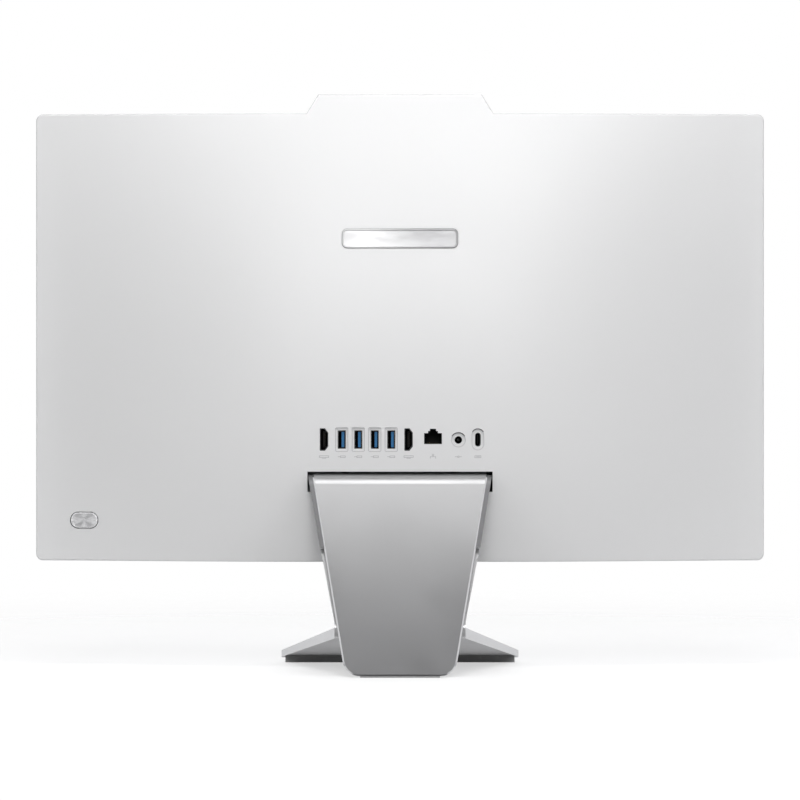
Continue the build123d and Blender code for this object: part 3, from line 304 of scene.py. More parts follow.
SEAM_Y = -36.0 * MM
SEAM_HALF = 0.22 * MM
SHELL_WHITE = (0.805, 0.806, 0.809)
SHELL_DULL = (0.788, 0.789, 0.792)
SEAM_DARK = (0.16, 0.16, 0.17)
SHELL_ROUGH = 0.36
# Grey of the painted shade on faces turned away from the back.
EDGE_PAINTED_SHADE = (0.46, 0.46, 0.47)
EDGE_LOW = 0.55
EDGE_HIGH = 0.90
ETCH_DEPTH = 0.02 * MM


def white_shell():
    """White back cover and chin: etched satin, with painted shade greying the faces turned away from
    the back, and the dark parting line.
    """
    paint = Paint("white_shell", SHELL_WHITE, SHELL_ROUGH, Specular_IOR_Level=0.5)
    drift = paint.noise(7.0)
    tone = paint.blend(drift, SHELL_DULL, SHELL_WHITE)
    across = paint.maths("ABSOLUTE", paint.maths("SUBTRACT", paint.axis("Y"), SEAM_Y))
    away = paint.span(across, SEAM_HALF * 0.5, SEAM_HALF)
    # Painted shade: faces turned sideways from the back are blended towards grey.
    geometry = paint.nodes.new("ShaderNodeNewGeometry")
    rearward = paint.maths("ABSOLUTE", paint.axis("Y", geometry.outputs["True Normal"]))
    shaded = paint.blend(paint.span(rearward, EDGE_LOW, EDGE_HIGH), EDGE_PAINTED_SHADE, tone)
    paint.colour(paint.blend(away, SEAM_DARK, shaded))
    paint.rough(paint.wander(drift, SHELL_ROUGH, SATIN_SWING))
    dots = paint.span(paint.cells(700.0), 0.15, 0.5)
    grain = paint.noise(2600.0, 2.0)
    paint.relief(paint.maths("MULTIPLY_ADD", grain, 0.5, dots), ETCH_DEPTH, 0.35)
    return paint.material


GLOSS_DEEP = (0.006, 0.006, 0.008)
GLOSS_PALE = (0.011, 0.011, 0.014)
GLOSS_MEAN = (0.008, 0.008, 0.010)
GLOSS_ROUGH = 0.065
GLOSS_SWING = 0.025


def black_gloss():
    """Polished black of the camera's window and lens."""
    paint = Paint("black_gloss", GLOSS_MEAN, 0.06, Coat_Weight=0.6, Coat_Roughness=0.03)
    paint.rough(paint.wander(paint.noise(45.0), GLOSS_ROUGH, GLOSS_SWING))
    paint.colour(paint.blend(paint.noise(20.0), GLOSS_DEEP, GLOSS_PALE))
    return paint.material


GLASS_BORDER = 3.0 * MM
BORDER_FADE = 0.15 * MM
GLASS_DEPTH = 0.004 * MM
BORDER_BLACK = (0.004, 0.004, 0.005)
PICTURE_DEEP = (0.012, 0.013, 0.016)
PICTURE_PALE = (0.016, 0.017, 0.021)
GLASS_MEAN = (0.01, 0.01, 0.012)


def screen_glass():
    """Dark anti-glare panel: a blacker printed border round the picture area."""
    lowest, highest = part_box("lcd_panel")
    paint = Paint("screen_glass", GLASS_MEAN, 0.16, Coat_Weight=0.25, Coat_Roughness=0.12)
    middle = (lowest + highest) / 2
    half = (highest - lowest) / 2
    from_side = paint.maths("ABSOLUTE", paint.axis("X"))
    beyond_x = paint.maths("SUBTRACT", from_side, half.x - GLASS_BORDER)
    from_middle = paint.maths("ABSOLUTE", paint.maths("SUBTRACT", paint.axis("Z"), middle.z))
    beyond_z = paint.maths("SUBTRACT", from_middle, half.z - GLASS_BORDER)
    outside = paint.span(paint.maths("MAXIMUM", beyond_x, beyond_z), 0.0, BORDER_FADE)
    picture = paint.blend(paint.noise(3.0), PICTURE_DEEP, PICTURE_PALE)
    paint.colour(paint.blend(outside, picture, BORDER_BLACK))
    paint.relief(paint.noise(5000.0, 1.0), GLASS_DEPTH, 0.4)
    return paint.material


BOARD_MEAN = (0.02, 0.10, 0.05)
TRACK_GREEN = (0.035, 0.17, 0.08)
MASK_GREEN = (0.015, 0.085, 0.04)
PAD_TIN = (0.55, 0.52, 0.42)
TRACK_DEPTH = 0.03 * MM


def circuit_board():
    """Green board: raised tracks under solder mask and tinned pads."""
    paint = Paint("circuit_board", BOARD_MEAN, 0.34)
    tracks = paint.span(paint.cells(260.0, "DISTANCE_TO_EDGE"), 0.02, 0.08)
    mask = paint.blend(tracks, TRACK_GREEN, MASK_GREEN)
    pads = paint.span(paint.cells(430.0), 0.10, 0.16)
    paint.colour(paint.blend(pads, PAD_TIN, mask))
    paint.relief(tracks, TRACK_DEPTH, 0.5)
    return paint.material


FILM_DOT = (0.78, 0.79, 0.80)
FILM_WHITE = (0.9, 0.9, 0.9)
FILM_MEAN = (0.88, 0.88, 0.88)


def optical_film():
    """Milky diffuser sheet and light guide with a fine printed dot screen."""
    paint = Paint("optical_film", FILM_MEAN, 0.3, Subsurface_Weight=0.1)
    dots = paint.span(paint.cells(900.0), 0.2, 0.35)
    paint.colour(paint.blend(dots, FILM_DOT, FILM_WHITE))
    return paint.material


BEVEL_LOW = 0.30
BEVEL_HIGH = 0.50
SIDE_LOW = 0.80
SIDE_HIGH = 0.90
STAND_SILVER = (0.39, 0.39, 0.395)
STAND_DULL = (0.365, 0.365, 0.37)
# Colour of the painted shade near the floor.
STAND_PAINTED_SHADE = (0.25, 0.25, 0.255)
# Paler colour of the painted light on the plate sides and the strip outside the neck.
STAND_PAINTED_LIGHT = (0.50, 0.50, 0.505)
LOW_Z = 20.0 * MM
HIGH_Z = 105.0 * MM
NECK_TAPER = 0.178
NECK_EDGE = 39.1 * MM
STRIP_Z = 27.0 * MM
STAND_ROUGH = 0.34
BEVEL_BRIGHT = (0.93, 0.93, 0.94)
BEVEL_ROUGH = 0.14
STRIP_FADE = 0.2 * MM
STAND_DEPTH = 0.015 * MM


def stand_silver():
    """Satin aluminium with bright cut bevels; painted shade darkens it near the floor, and painted
    light makes the plate sides and a strip outside the neck pale.
    """
    paint = Paint("stand_silver", STAND_SILVER, STAND_ROUGH, 0.85)
    geometry = paint.nodes.new("ShaderNodeNewGeometry")
    sideways = paint.maths("ABSOLUTE", paint.axis("X", geometry.outputs["True Normal"]))
    on_bevel = paint.span(sideways, BEVEL_LOW, BEVEL_HIGH)
    on_side = paint.span(sideways, SIDE_LOW, SIDE_HIGH)
    bevel = paint.maths("MULTIPLY", on_bevel, paint.maths("SUBTRACT", 1.0, on_side))
    height = paint.axis("Z")
    beyond = paint.maths("SUBTRACT", paint.maths("ABSOLUTE", paint.axis("X")), NECK_EDGE)
    beyond = paint.maths("SUBTRACT", beyond, paint.maths("MULTIPLY", height, NECK_TAPER))
    above = paint.span(height, STRIP_Z - MM, STRIP_Z)
    on_strip = paint.maths("MULTIPLY", paint.span(beyond, 0.0, STRIP_FADE), above)
    # Painted light: the plate sides and the strip outside the neck's edge are lifted to a paler
    # colour.
    pale = paint.maths("MAXIMUM", on_side, on_strip)
    drift = paint.noise(14.0)
    satin = paint.blend(drift, STAND_DULL, STAND_SILVER)
    # Painted shade: the satin darkens towards the floor, below the upper height.
    satin = paint.blend(paint.span(height, LOW_Z, HIGH_Z), STAND_PAINTED_SHADE, satin)
    faces = paint.blend(pale, satin, STAND_PAINTED_LIGHT)
    paint.colour(paint.blend(bevel, faces, BEVEL_BRIGHT))
    satin_rough = paint.wander(drift, STAND_ROUGH, SATIN_SWING)
    flat_rough = paint.maths("MULTIPLY", satin_rough, paint.maths("SUBTRACT", 1.0, bevel))
    paint.rough(paint.maths("MULTIPLY_ADD", bevel, BEVEL_ROUGH, flat_rough))
    paint.relief(paint.noise(2200.0, 2.0), STAND_DEPTH, 0.4)
    return paint.material


BADGE_FADE = 36.0 * MM
BADGE_SHADED_END = (0.30, 0.30, 0.305)
BADGE_LIT_END = (0.50, 0.50, 0.505)
BADGE_PLAIN = (0.60, 0.60, 0.61)
BADGE_ROUGH = 0.42
BADGE_SWING = 0.04
BADGE_STRETCH = (0.4, 1.0, 1.0)


def polished_badge():
    """Bright plated badge with a brushed swirl in its gloss; painted light and shade make one end
    bright and the other dull.
    """
    paint = Paint("polished_badge", BADGE_PLAIN, BADGE_ROUGH, 0.8)
    swirl = paint.noise(120.0, 3.0, paint.stretched(BADGE_STRETCH))
    paint.rough(paint.wander(swirl, BADGE_ROUGH, BADGE_SWING))
    # Painted light and shade: the badge is bright towards +X and dull towards -X.
    across = paint.span(paint.axis("X"), -BADGE_FADE, BADGE_FADE)
    paint.colour(paint.blend(across, BADGE_SHADED_END, BADGE_LIT_END))
    paint.relief(swirl, METAL_DEPTH, 0.3)
    return paint.material


SPUN_SECTORS = 4.0
# Pale of the button's rim metal, also the painted highlight in the spun face's light sectors.
SPUN_PALE_AND_HIGHLIGHT = (0.93, 0.93, 0.94)
SPUN_PAINTED_SHADE = (0.60, 0.60, 0.61)
SPUN_MEAN = (0.80, 0.80, 0.81)
SPUN_METALLIC = 0.3
RING_RATE = 9000.0
RING_DEPTH = 0.008 * MM


def spun_metal():
    """Spun disc finish: rings round the object's own middle, with painted highlight and painted
    shade in light and dark sectors.
    """
    paint = Paint("spun_metal", SPUN_MEAN, 0.30, SPUN_METALLIC, Anisotropic=0.5)
    along = paint.axis("X")
    up = paint.axis("Z")
    angle = paint.maths("ARCTAN2", up, along)
    wave = paint.maths("COSINE", paint.maths("MULTIPLY", angle, SPUN_SECTORS))
    flat = paint.nodes.new("ShaderNodeCombineXYZ")
    paint.links.new(along, flat.inputs["X"])
    paint.links.new(up, flat.inputs["Z"])
    length = paint.nodes.new("ShaderNodeVectorMath")
    length.operation = "LENGTH"
    paint.links.new(flat.outputs["Vector"], length.inputs[0])
    rings = paint.maths("SINE", paint.maths("MULTIPLY", length.outputs["Value"], RING_RATE))
    # Painted highlight and painted shade: light and dark sectors round the middle, where reflections
    # on spun metal fall.
    paint.colour(paint.blend(paint.span(wave, -0.9, 0.9), SPUN_PAINTED_SHADE, SPUN_PALE_AND_HIGHLIGHT))
    paint.rough(paint.span(wave, -1.0, 1.0, 0.34, 0.24))
    paint.relief(rings, RING_DEPTH, 0.4)
    tangent = paint.nodes.new("ShaderNodeTangent")
    tangent.direction_type = "RADIAL"
    tangent.axis = "Y"
    paint.links.new(tangent.outputs["Tangent"], paint.shader.inputs["Tangent"])
    return paint.material


RUBBER_GREY = (0.33, 0.33, 0.332)
RUBBER_SCUFF = (0.40, 0.40, 0.402)
RUBBER_MEAN = (0.34, 0.34, 0.342)
RUBBER_DEPTH = 0.04 * MM


def foot_rubber():
    """Matt grey rubber, grainy, a little paler where it is scuffed."""
    paint = Paint("foot_rubber", RUBBER_MEAN, 0.75)
    scuff = paint.span(paint.noise(150.0, 5.0), 0.55, 0.75)
    paint.colour(paint.blend(scuff, RUBBER_GREY, RUBBER_SCUFF))
    paint.relief(paint.noise(1800.0), RUBBER_DEPTH, 0.7)
    return paint.material


INK_DARK = (0.35, 0.35, 0.36)
INK_PALE = (0.41, 0.41, 0.42)
INK_MEAN = (0.38, 0.38, 0.39)


def printed_grey():
    """Thin grey ink of the small marks under the sockets."""
    paint = Paint("printed_grey", INK_MEAN, 0.6)
    paint.colour(paint.blend(paint.noise(900.0), INK_DARK, INK_PALE))
    return paint.material


FLOOR_COOL = (0.925, 0.925, 0.93)
FLOOR_PALE = (0.935, 0.935, 0.935)
FLOOR_MEAN = (0.93, 0.93, 0.93)


def floor_paint():
    """Pale studio floor that fades into the white surroundings."""
    paint = Paint("studio_floor", FLOOR_MEAN, 0.6, Specular_IOR_Level=0.15)
    paint.shader.inputs["Emission Color"].default_value = (*WHITE, 1.0)
    paint.shader.inputs["Emission Strength"].default_value = FLOOR_GLOW
    length = paint.nodes.new("ShaderNodeVectorMath")
    length.operation = "LENGTH"
    paint.links.new(paint.place, length.inputs[0])
    solid = paint.span(length.outputs["Value"], FLOOR_SOLID, FLOOR_RADIUS, FLOOR_STRENGTH, 0.0)
    paint.links.new(solid, paint.shader.inputs["Alpha"])
    paint.colour(paint.blend(paint.noise(4.0), FLOOR_COOL, FLOOR_PALE))
    return paint.material


SILVER_MOULDED = moulded("silver_moulded", (0.17, 0.17, 0.175), 0.38, Metallic=0.35)
BLACK_SATIN = moulded("black_satin", (0.018, 0.018, 0.02), 0.42)
GOLD = plated("contact_gold", (0.83, 0.62, 0.28), 0.22)
PRINTED_GREY = printed_grey()
# Grey painted shade round the socket recesses, and the darker painted shade over the tops of two of
# them.
RECESS_EDGE_SHADE = moulded("recess_edge_shade", (0.42, 0.42, 0.43), 0.5)
RECESS_TOP_SHADE = moulded("recess_top_shade", (0.09, 0.09, 0.095), 0.5)
POLISHED = polished_badge()
SPUN = spun_metal()

SLOT_FINISH = {
    "white_plastic": white_shell(),
    "black_plastic": BLACK_SATIN,
    "black_gloss": black_gloss(),
    "polished_badge": POLISHED,
    "steel_zinc": plated("zinc_steel", (0.56, 0.57, 0.58), 0.34),
    "screen_glass": screen_glass(),
    "optical_film": optical_film(),
    "circuit_board": circuit_board(),
    "copper": plated("copper", (0.72, 0.38, 0.22), 0.28),
    "raw_aluminium": plated("raw_aluminium", (0.76, 0.77, 0.78), 0.30),
    "socket_shell": socket_metal("socket_shell", (0.62, 0.62, 0.62), 0.26, "usb_sockets"),
    "dark_shell": socket_metal("dark_shell", (0.09, 0.09, 0.095), 0.36, "usb_c_socket"),
    "blue_plastic": moulded("blue_plastic", (0.02, 0.17, 0.40), 0.45),
    # The rim takes the pale metal itself; the spun face uses the same pale for its painted
    # highlight.
    "spun_metal": plated("button_metal", SPUN_PALE_AND_HIGHLIGHT, 0.24, SPUN_METALLIC),
    "silver_metal": stand_silver(),
    "silver_plastic": SILVER_MOULDED,
    "foot_rubber": foot_rubber(),
}

SOCKET_BLACK = moulded("socket_black", (0.004, 0.004, 0.004), 0.6, Specular_IOR_Level=0.2)
NODE_FINISH = {
    "ethernet_socket": SOCKET_BLACK,
    "hdmi_tongues": SOCKET_BLACK,
    "power_jack": SOCKET_BLACK,
    # The jack's pin is painted near black: painted shade of the hollow it stands in.
    "power_jack_pin": plated("jack_pin", (0.05, 0.05, 0.052), 0.40),
    "usb_c_tongue": SOCKET_BLACK,
}

for part in frame["record"]["subparts"]:
    node = frame["nodes"][part["node"]]
    node.data.materials.clear()
    node.data.materials.append(NODE_FINISH.get(part["node"], SLOT_FINISH[part["material_slot"]]))

# ---------------------------------------------------------------- mesh building

RAY_START = 1.0
SMALLEST_CORNER = 0.02 * MM


def piece(name, mesh, material, body, origin=(0.0, 0.0, 0.0)):
    """Object made from a bmesh in the model's coordinates, which rides on a body."""
    mesh.transform(Matrix.Translation(-Vector(origin)))
    bmesh.ops.recalc_face_normals(mesh, faces=mesh.faces)
    data = bpy.data.meshes.new(name)
    mesh.to_mesh(data)
    mesh.free()
    data.materials.append(material)
    made = bpy.data.objects.new(name, data)
    made.location = origin
    bpy.context.scene.collection.objects.link(made)
    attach(made, body)
    return made


def bar_into(mesh, low, high, bevel=0.0):
    """Box between two corners, with bevelled edges, added to a mesh."""
    size = Vector(high) - Vector(low)
    middle = (Vector(high) + Vector(low)) / 2
    made = bmesh.ops.create_cube(mesh, size=1.0)["verts"]
    bmesh.ops.scale(mesh, vec=size, verts=made)
    bmesh.ops.translate(mesh, vec=middle, verts=made)
    if bevel:
        edges = list(dict.fromkeys(edge for vert in made for edge in vert.link_edges))
        bmesh.ops.bevel(mesh, geom=edges, offset=bevel, segments=2, profile=0.5, affect="EDGES")


def node_middle(name):
    """Middle (x, z) of a CAD node."""
    lowest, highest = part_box(name)
    return (lowest.x + highest.x) / 2, (lowest.z + highest.z) / 2


def surface_y(node, x, z):
    """Depth of a CAD node's rearmost surface at (x, z)."""
    start = Vector((x, RAY_START, z))
    hit, place, _, _ = frame["nodes"][node].ray_cast(start, Vector((0.0, -1.0, 0.0)))
    return place.y if hit else None


def rounded_loop(middle, size, corner, inset, across=24, turn=6):
    """Points (x, z) round a rounded rectangle that is shrunk by inset; always the same count."""
    radius = max(corner - inset, SMALLEST_CORNER)
    half_x = size[0] / 2 - inset - radius
    half_z = max(size[1] / 2 - inset - radius, 0.0)
    points = []
    for quarter, (sign_x, sign_z) in enumerate(((1, 1), (-1, 1), (-1, -1), (1, -1))):
        for step in range(turn + 1):
            angle = math.radians(90 * quarter + 90 * step / turn)
            x = middle[0] + sign_x * half_x + radius * math.cos(angle)
            z = middle[1] + sign_z * half_z + radius * math.sin(angle)
            points.append((x, z))
        if quarter in (0, 2):
            start = points[-1]
            for step in range(1, across):
                points.append((start[0] - sign_x * 2 * half_x * step / across, start[1]))
    return points


def stacked(mesh, loops):
    """Skin of quads through loops of points, closed at both ends."""
    rows = [[mesh.verts.new(point) for point in loop] for loop in loops]
    count = len(rows[0])
    for lower, upper in zip(rows, rows[1:]):
        for index in range(count):
            after = (index + 1) % count
            mesh.faces.new((lower[index], lower[after], upper[after], upper[index]))
    mesh.faces.new(rows[0])
    mesh.faces.new(list(reversed(rows[-1])))
    for face in mesh.faces:
        face.smooth = len(face.verts) == 4


# ---------------------------------------------------------------- badge

BADGE_CORNER = 4.0 * MM
BADGE_SINK = 0.5 * MM

# How far in from the outline and how high above the base, in millimetres.
BADGE_PROFILE = ((0.0, -0.30), (0.0, 0.15), (0.12, 0.36), (0.40, 0.49), (0.9, 0.50), (1.3, 0.50),
                 (1.5, 0.36), (1.7, 0.33), (2.2, 0.33), (7.3, 0.33))


def badge():
    """Smooth plain badge: a raised rim round a slightly lower plain field."""
    lowest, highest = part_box("badge_plate")
    middle = node_middle("badge_plate")
    size = (highest.x - lowest.x, highest.z - lowest.z)
    reach = size[1] / 3
    upper_y = surface_y("badge_plate", middle[0], middle[1] + reach)
    lower_y = surface_y("badge_plate", middle[0], middle[1] - reach)
    slope = (upper_y - lower_y) / (2 * reach)
    base = (upper_y + lower_y) / 2 - BADGE_SINK
    loops = []
    for inset, raised in BADGE_PROFILE:
        outline = rounded_loop(middle, size, BADGE_CORNER, inset * MM)
        loops.append([(x, base + slope * (z - middle[1]) + raised * MM, z) for x, z in outline])
    mesh = bmesh.new()
    stacked(mesh, loops)
    made = piece("badge_bar", mesh, POLISHED, "head")
    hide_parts("badge_plate")


# ---------------------------------------------------------------- power button

# How far in from the outline and how high above the CAD button, in millimetres.
BUTTON_PROFILE = ((0.02, -1.2), (0.02, 0.05), (0.14, 0.22), (0.42, 0.30), (0.80, 0.30), (0.95, 0.20))
FACE_PROFILE = ((0.95, 0.12), (0.95, 0.24), (1.05, 0.27), (5.0, 0.27))
BUTTON_HEIGHT = 11.4 * MM
TOUCH_INSET = 0.15


def button_trim():
    """Bright rounded rim of the power button and its spun face, on the CAD button."""
    lowest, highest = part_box("power_button")
    middle = node_middle("power_button")
    size = (highest.x - lowest.x, BUTTON_HEIGHT)
    corner = BUTTON_HEIGHT / 2
    tip = surface_y("power_button", *middle)

    def loop(inset, raised):
        outline = rounded_loop(middle, size, corner, inset * MM, across=8, turn=12)
        touch = rounded_loop(middle, size, corner, max(inset, TOUCH_INSET) * MM, across=8, turn=12)
        depths = [surface_y("power_button", x, z) or tip for x, z in touch]
        return [(x, depth + raised * MM, z) for (x, z), depth in zip(outline, depths)]

    mesh = bmesh.new()
    stacked(mesh, [loop(inset, raised) for inset, raised in BUTTON_PROFILE])
    piece("button_rim", mesh, SLOT_FINISH["spun_metal"], "power_button")
    face = bmesh.new()
    stacked(face, [loop(inset, raised) for inset, raised in FACE_PROFILE])
    piece("button_face", face, SPUN, "power_button", (middle[0], tip, middle[1]))


# ---------------------------------------------------------------- contacts inside the sockets

USB_COUNT = 4
USB_SHELL_WIDTH = 5.7 * MM
USB_TONGUE_WIDTH = 1.9 * MM
USB_CONTACT_PLACES = (-3.5, -1.0, 1.0, 3.5)
USB_CONTACT_RISE = 0.12 * MM
USB_CONTACT_HALF = 0.5 * MM
USB_CONTACT_START = 6 * MM
USB_CONTACT_END = 0.8 * MM
USB_CONTACT_BEVEL = 0.04 * MM

WIRE_COUNT = 8
WIRE_PITCH = 1.02 * MM
WIRE_HALF = 0.18 * MM
WIRE_THICK = 0.35 * MM
WIRE_FLOOR = 2.9 * MM
WIRE_START = 10.0 * MM
WIRE_END = 2.0 * MM
WIRE_BEVEL = 0.05 * MM

HDMI_TONGUE_WIDTH = 1.6 * MM
HDMI_CONTACT_COUNT = 9
HDMI_CONTACT_PITCH = 1.05 * MM
HDMI_CONTACT_RISE = 0.06 * MM
HDMI_CONTACT_HALF = 0.2 * MM
HDMI_CONTACT_START = 7 * MM
HDMI_CONTACT_END = 0.5 * MM


def usb_middles(node, width):
    """Middle x of each of the four blue sockets' parts in one CAD node, all this wide."""
    lowest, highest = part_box(node)
    pitch = (highest.x - lowest.x - width) / (USB_COUNT - 1)
    return [lowest.x + width / 2 + index * pitch for index in range(USB_COUNT)]


def usb_contacts():
    """Four spring contacts on each of the four blue tongues."""
    mesh = bmesh.new()
    lowest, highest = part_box("usb_tongues")
    start_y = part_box("usb_sockets")[0].y + USB_CONTACT_START
    middle = (lowest.z + highest.z) / 2
    for tongue_x in usb_middles("usb_tongues", USB_TONGUE_WIDTH):
        face_x = tongue_x + USB_TONGUE_WIDTH / 2
        for place in USB_CONTACT_PLACES:
            z = middle + place * MM
            low = (face_x - USB_CONTACT_RISE, start_y, z - USB_CONTACT_HALF)
            high = (face_x + USB_CONTACT_RISE, highest.y - USB_CONTACT_END, z + USB_CONTACT_HALF)
            bar_into(mesh, low, high, USB_CONTACT_BEVEL)
    piece("usb_contacts", mesh, GOLD, "head")


def ethernet_contacts():
    """Eight gold wires along the floor of the network socket."""
    mesh = bmesh.new()
    lowest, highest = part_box("ethernet_socket")
    middle = (lowest.x + highest.x) / 2
    floor_z = lowest.z + WIRE_FLOOR
    for index in range(WIRE_COUNT):
        x = middle + (index - (WIRE_COUNT - 1) / 2) * WIRE_PITCH
        low = (x - WIRE_HALF, highest.y - WIRE_START, floor_z)
        high = (x + WIRE_HALF, highest.y - WIRE_END, floor_z + WIRE_THICK)
        bar_into(mesh, low, high, WIRE_BEVEL)
    piece("ethernet_contacts", mesh, GOLD, "head")


def display_contacts():
    """Rows of fine contacts on both sides of the two display connectors' tongues."""
    mesh = bmesh.new()
    lowest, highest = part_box("hdmi_tongues")
    middle = (lowest.z + highest.z) / 2
    for tongue_x in (lowest.x, highest.x - HDMI_TONGUE_WIDTH):
        for index in range(HDMI_CONTACT_COUNT):
            z = middle + (index - HDMI_CONTACT_COUNT // 2) * HDMI_CONTACT_PITCH
            for face_x in (tongue_x, tongue_x + HDMI_TONGUE_WIDTH):
                low_y = highest.y - HDMI_CONTACT_START
                high_y = highest.y - HDMI_CONTACT_END
                low = (face_x - HDMI_CONTACT_RISE, low_y, z - HDMI_CONTACT_HALF)
                high = (face_x + HDMI_CONTACT_RISE, high_y, z + HDMI_CONTACT_HALF)
                bar_into(mesh, low, high)
    piece("display_contacts", mesh, GOLD, "head")


# ---------------------------------------------------------------- painted shade round the socket recesses

RECESS_SHADE_WIDTH = 0.28 * MM
RECESS_SHADE_LIFT = 0.02 * MM
RECESS_SHADE_OVERLAP = 0.9
USB_RECESS = (8.8 * MM, 17.2 * MM)
USB_RECESS_CORNER = 0.8 * MM
USB_C_RECESS = (8.4 * MM, 15.0 * MM)
JACK_RECESS = (10.0 * MM, 10.0 * MM)
SHADE_WIDTH = 0.75 * MM
SHADE_FROM = 1.6 * MM


def shade_ring_into(mesh, middle, size, corner, width, lift, lowest_z):
    """Thin flat ring of painted shade on the cover, just outside one recess's edge, above a height.
    """
    wider = (size[0] + 2 * width, size[1] + 2 * width)
    outer = rounded_loop(middle, wider, corner + width, 0.0)
    inner = rounded_loop(middle, wider, corner + width, width * RECESS_SHADE_OVERLAP)
    depths = [surface_y("rear_cover", x, z) + lift for x, z in outer]
    outer_ring = [mesh.verts.new((x, y, z)) for (x, z), y in zip(outer, depths)]
    inner_ring = [mesh.verts.new((x, y, z)) for (x, z), y in zip(inner, depths)]
    for index in range(len(outer)):
        after = (index + 1) % len(outer)
        if min(outer[index][1], outer[after][1]) >= lowest_z:
            corners = (outer_ring[index], outer_ring[after], inner_ring[after], inner_ring[index])
            mesh.faces.new(corners)
    loose = [vert for vert in mesh.verts if not vert.link_faces]
    bmesh.ops.delete(mesh, geom=loose, context="VERTS")


def recess_shade_rings():
    """Painted shade round the four blue sockets, the power jack and the small socket: thin grey
    rings at each recess's edge, and darker arcs over the tops of the jack's and the small socket's
    recesses.
    """
    mesh = bmesh.new()
    shades = bmesh.new()
    usb_z = node_middle("usb_sockets")[1]
    for x in usb_middles("usb_sockets", USB_SHELL_WIDTH):
        shade_ring_into(mesh, (x, usb_z), USB_RECESS, USB_RECESS_CORNER, RECESS_SHADE_WIDTH, RECESS_SHADE_LIFT, 0.0)
    for name, size in (("power_jack", JACK_RECESS), ("usb_c_socket", USB_C_RECESS)):
        place = node_middle(name)
        shade_z = place[1] + size[1] / 2 - size[0] / 2 + SHADE_FROM
        shade_ring_into(mesh, place, size, size[0] / 2, RECESS_SHADE_WIDTH, RECESS_SHADE_LIFT, 0.0)
        shade_ring_into(shades, place, size, size[0] / 2, SHADE_WIDTH, 2 * RECESS_SHADE_LIFT, shade_z)
    piece("recess_shade_rings", mesh, RECESS_EDGE_SHADE, "head")
    piece("recess_shades", shades, RECESS_TOP_SHADE, "head")


# ---------------------------------------------------------------- printed marks

MARK_Z = 156.4 * MM
MARK_STROKE = 0.28
MARK_LIFT = 0.02 * MM
MARK_THICK = 0.03 * MM

# Each stroke runs from one (x, z) to another, in millimetres about the mark's middle.
SCREEN_MARK = ((-3.4, -0.5, 3.4, -0.5), (-3.4, 0.7, 3.4, 0.7), (-3.4, -0.5, -3.4, 0.7),
               (3.4, -0.5, 3.4, 0.7), (-1.4, -1.1, 1.4, -1.1))
PLUG_MARK = ((-2.6, -0.6, 1.0, -0.6), (-2.6, 0.6, 1.0, 0.6), (-2.6, -0.6, -2.6, 0.6),
             (1.0, -0.6, 1.0, 0.6), (1.0, 0.0, 2.8, 0.0))
NETWORK_MARK = ((-0.7, 1.0, 0.7, 1.0), (-0.7, 1.8, 0.7, 1.8), (0.0, 0.0, 0.0, 1.0),
                (-2.0, 0.0, 2.0, 0.0), (-2.0, -1.2, -2.0, 0.0), (2.0, -1.2, 2.0, 0.0))
POWER_MARK = ((-2.4, 0.0, -0.9, 0.0), (0.9, 0.0, 2.4, 0.0), (-0.5, -0.5, 0.5, -0.5),
              (-0.5, 0.5, 0.5, 0.5), (-0.5, -0.5, -0.5, 0.5), (0.5, -0.5, 0.5, 0.5))
SLOT_MARK = ((-2.2, -0.7, 2.2, -0.7), (-2.2, 0.7, 2.2, 0.7), (-2.2, -0.7, -2.2, 0.7),
             (2.2, -0.7, 2.2, 0.7), (-1.2, 0.0, 1.2, 0.0))


def mark_into(mesh, middle_x, strokes):
    """Thin strokes of one mark laid on the cover."""
    half = MARK_STROKE / 2
    for x0, z0, x1, z1 in strokes:
        low_x = middle_x + (min(x0, x1) - half) * MM
        high_x = middle_x + (max(x0, x1) + half) * MM
        low_z = MARK_Z + (min(z0, z1) - half) * MM
        high_z = MARK_Z + (max(z0, z1) + half) * MM
        depth = surface_y("rear_cover", (low_x + high_x) / 2, (low_z + high_z) / 2)
        bar_into(mesh, (low_x, depth - MARK_THICK, low_z), (high_x, depth + MARK_LIFT, high_z))


def printed_marks():
    """One small generic mark under each socket."""
    mesh = bmesh.new()
    for x in usb_middles("usb_sockets", USB_SHELL_WIDTH):
        mark_into(mesh, x, PLUG_MARK)
    for name, strokes in (
        ("hdmi_socket_out", SCREEN_MARK),
        ("hdmi_socket_in", SCREEN_MARK),
        ("ethernet_socket", NETWORK_MARK),
        ("power_jack", POWER_MARK),
        ("usb_c_socket", SLOT_MARK),
    ):
        mark_into(mesh, node_middle(name)[0], strokes)
    piece("socket_marks", mesh, PRINTED_GREY, "head")


# ---------------------------------------------------------------- front details

MICROPHONE_X = 21 * MM
HOLE_RADIUS = 0.6 * MM
HOLE_DEPTH = 0.04 * MM
HOLE_SIDES = 24
RING_OUTER = 3.4 * MM
RING_INNER = 2.9 * MM
RING_THICK = 0.03 * MM
RING_SIDES = 48

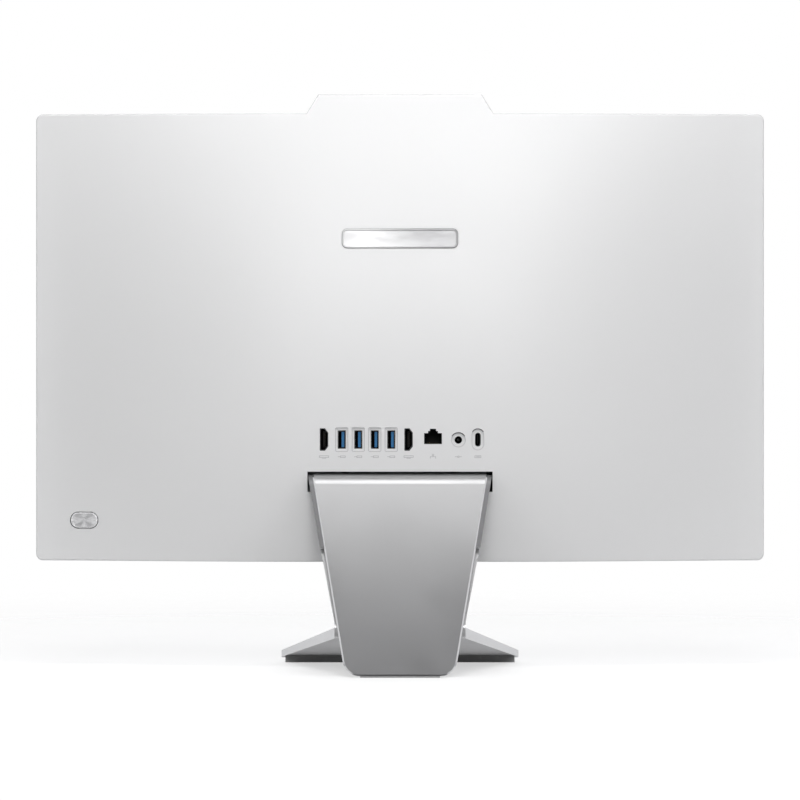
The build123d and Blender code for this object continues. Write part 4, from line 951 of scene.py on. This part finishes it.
# Radius and rise above the window of the ring's four edges.
RING_PROFILE = (
    (RING_OUTER, 0.0),
    (RING_OUTER, RING_THICK),
    (RING_INNER, RING_THICK),
    (RING_INNER, 0.0),
)


def front_place(x):
    """Turn and shift that lay a flat shape on the camera window's front face at x."""
    front_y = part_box("webcam_window")[0].y
    shift = Matrix.Translation((x, front_y, node_middle("webcam_window")[1]))
    return shift @ Matrix.Rotation(math.pi / 2, 4, "X")


def microphone_hole_shades():
    """Two small dark discs beside the camera: painted shade for the hollows of the microphone holes.
    """
    holes = bmesh.new()
    for x in (-MICROPHONE_X, MICROPHONE_X):
        bmesh.ops.create_cone(holes, cap_ends=True, segments=HOLE_SIDES, radius1=HOLE_RADIUS,
                              radius2=HOLE_RADIUS, depth=HOLE_DEPTH, matrix=front_place(x))
    piece("microphone_hole_shades", holes, BLACK_SATIN, "head")


def lens_ring():
    """Thin ring round the camera's lens."""
    ring = bmesh.new()
    place = front_place(0.0)
    circles = []
    for radius, lift in RING_PROFILE:
        made = bmesh.ops.create_circle(ring, segments=RING_SIDES, radius=radius, matrix=place)
        bmesh.ops.translate(ring, vec=(0.0, -lift, 0.0), verts=made["verts"])
        circles.append(made["verts"])
    for first, second in zip(circles, circles[1:] + circles[:1]):
        for index in range(RING_SIDES):
            after = (index + 1) % RING_SIDES
            ring.faces.new((first[index], first[after], second[after], second[index]))
    piece("lens_ring", ring, SILVER_MOULDED, "head")


# ---------------------------------------------------------------- put together


def studio_floor():
    """Round floor under the object, which is part of the studio and not of the object."""
    mesh = bmesh.new()
    bmesh.ops.create_circle(mesh, cap_ends=True, segments=FLOOR_SIDES, radius=FLOOR_RADIUS)
    data = bpy.data.meshes.new("floor")
    mesh.to_mesh(data)
    mesh.free()
    data.materials.append(floor_paint())
    floor = bpy.data.objects.new("floor", data)
    bpy.context.scene.collection.objects.link(floor)


badge()
button_trim()
usb_contacts()
ethernet_contacts()
display_contacts()
recess_shade_rings()
printed_marks()
microphone_hole_shades()
lens_ring()

studio_floor()
studio_world()
studio_camera()
for row in SOFTBOXES:
    softbox(*row)
bpy.context.scene.view_settings.view_transform = "Standard"
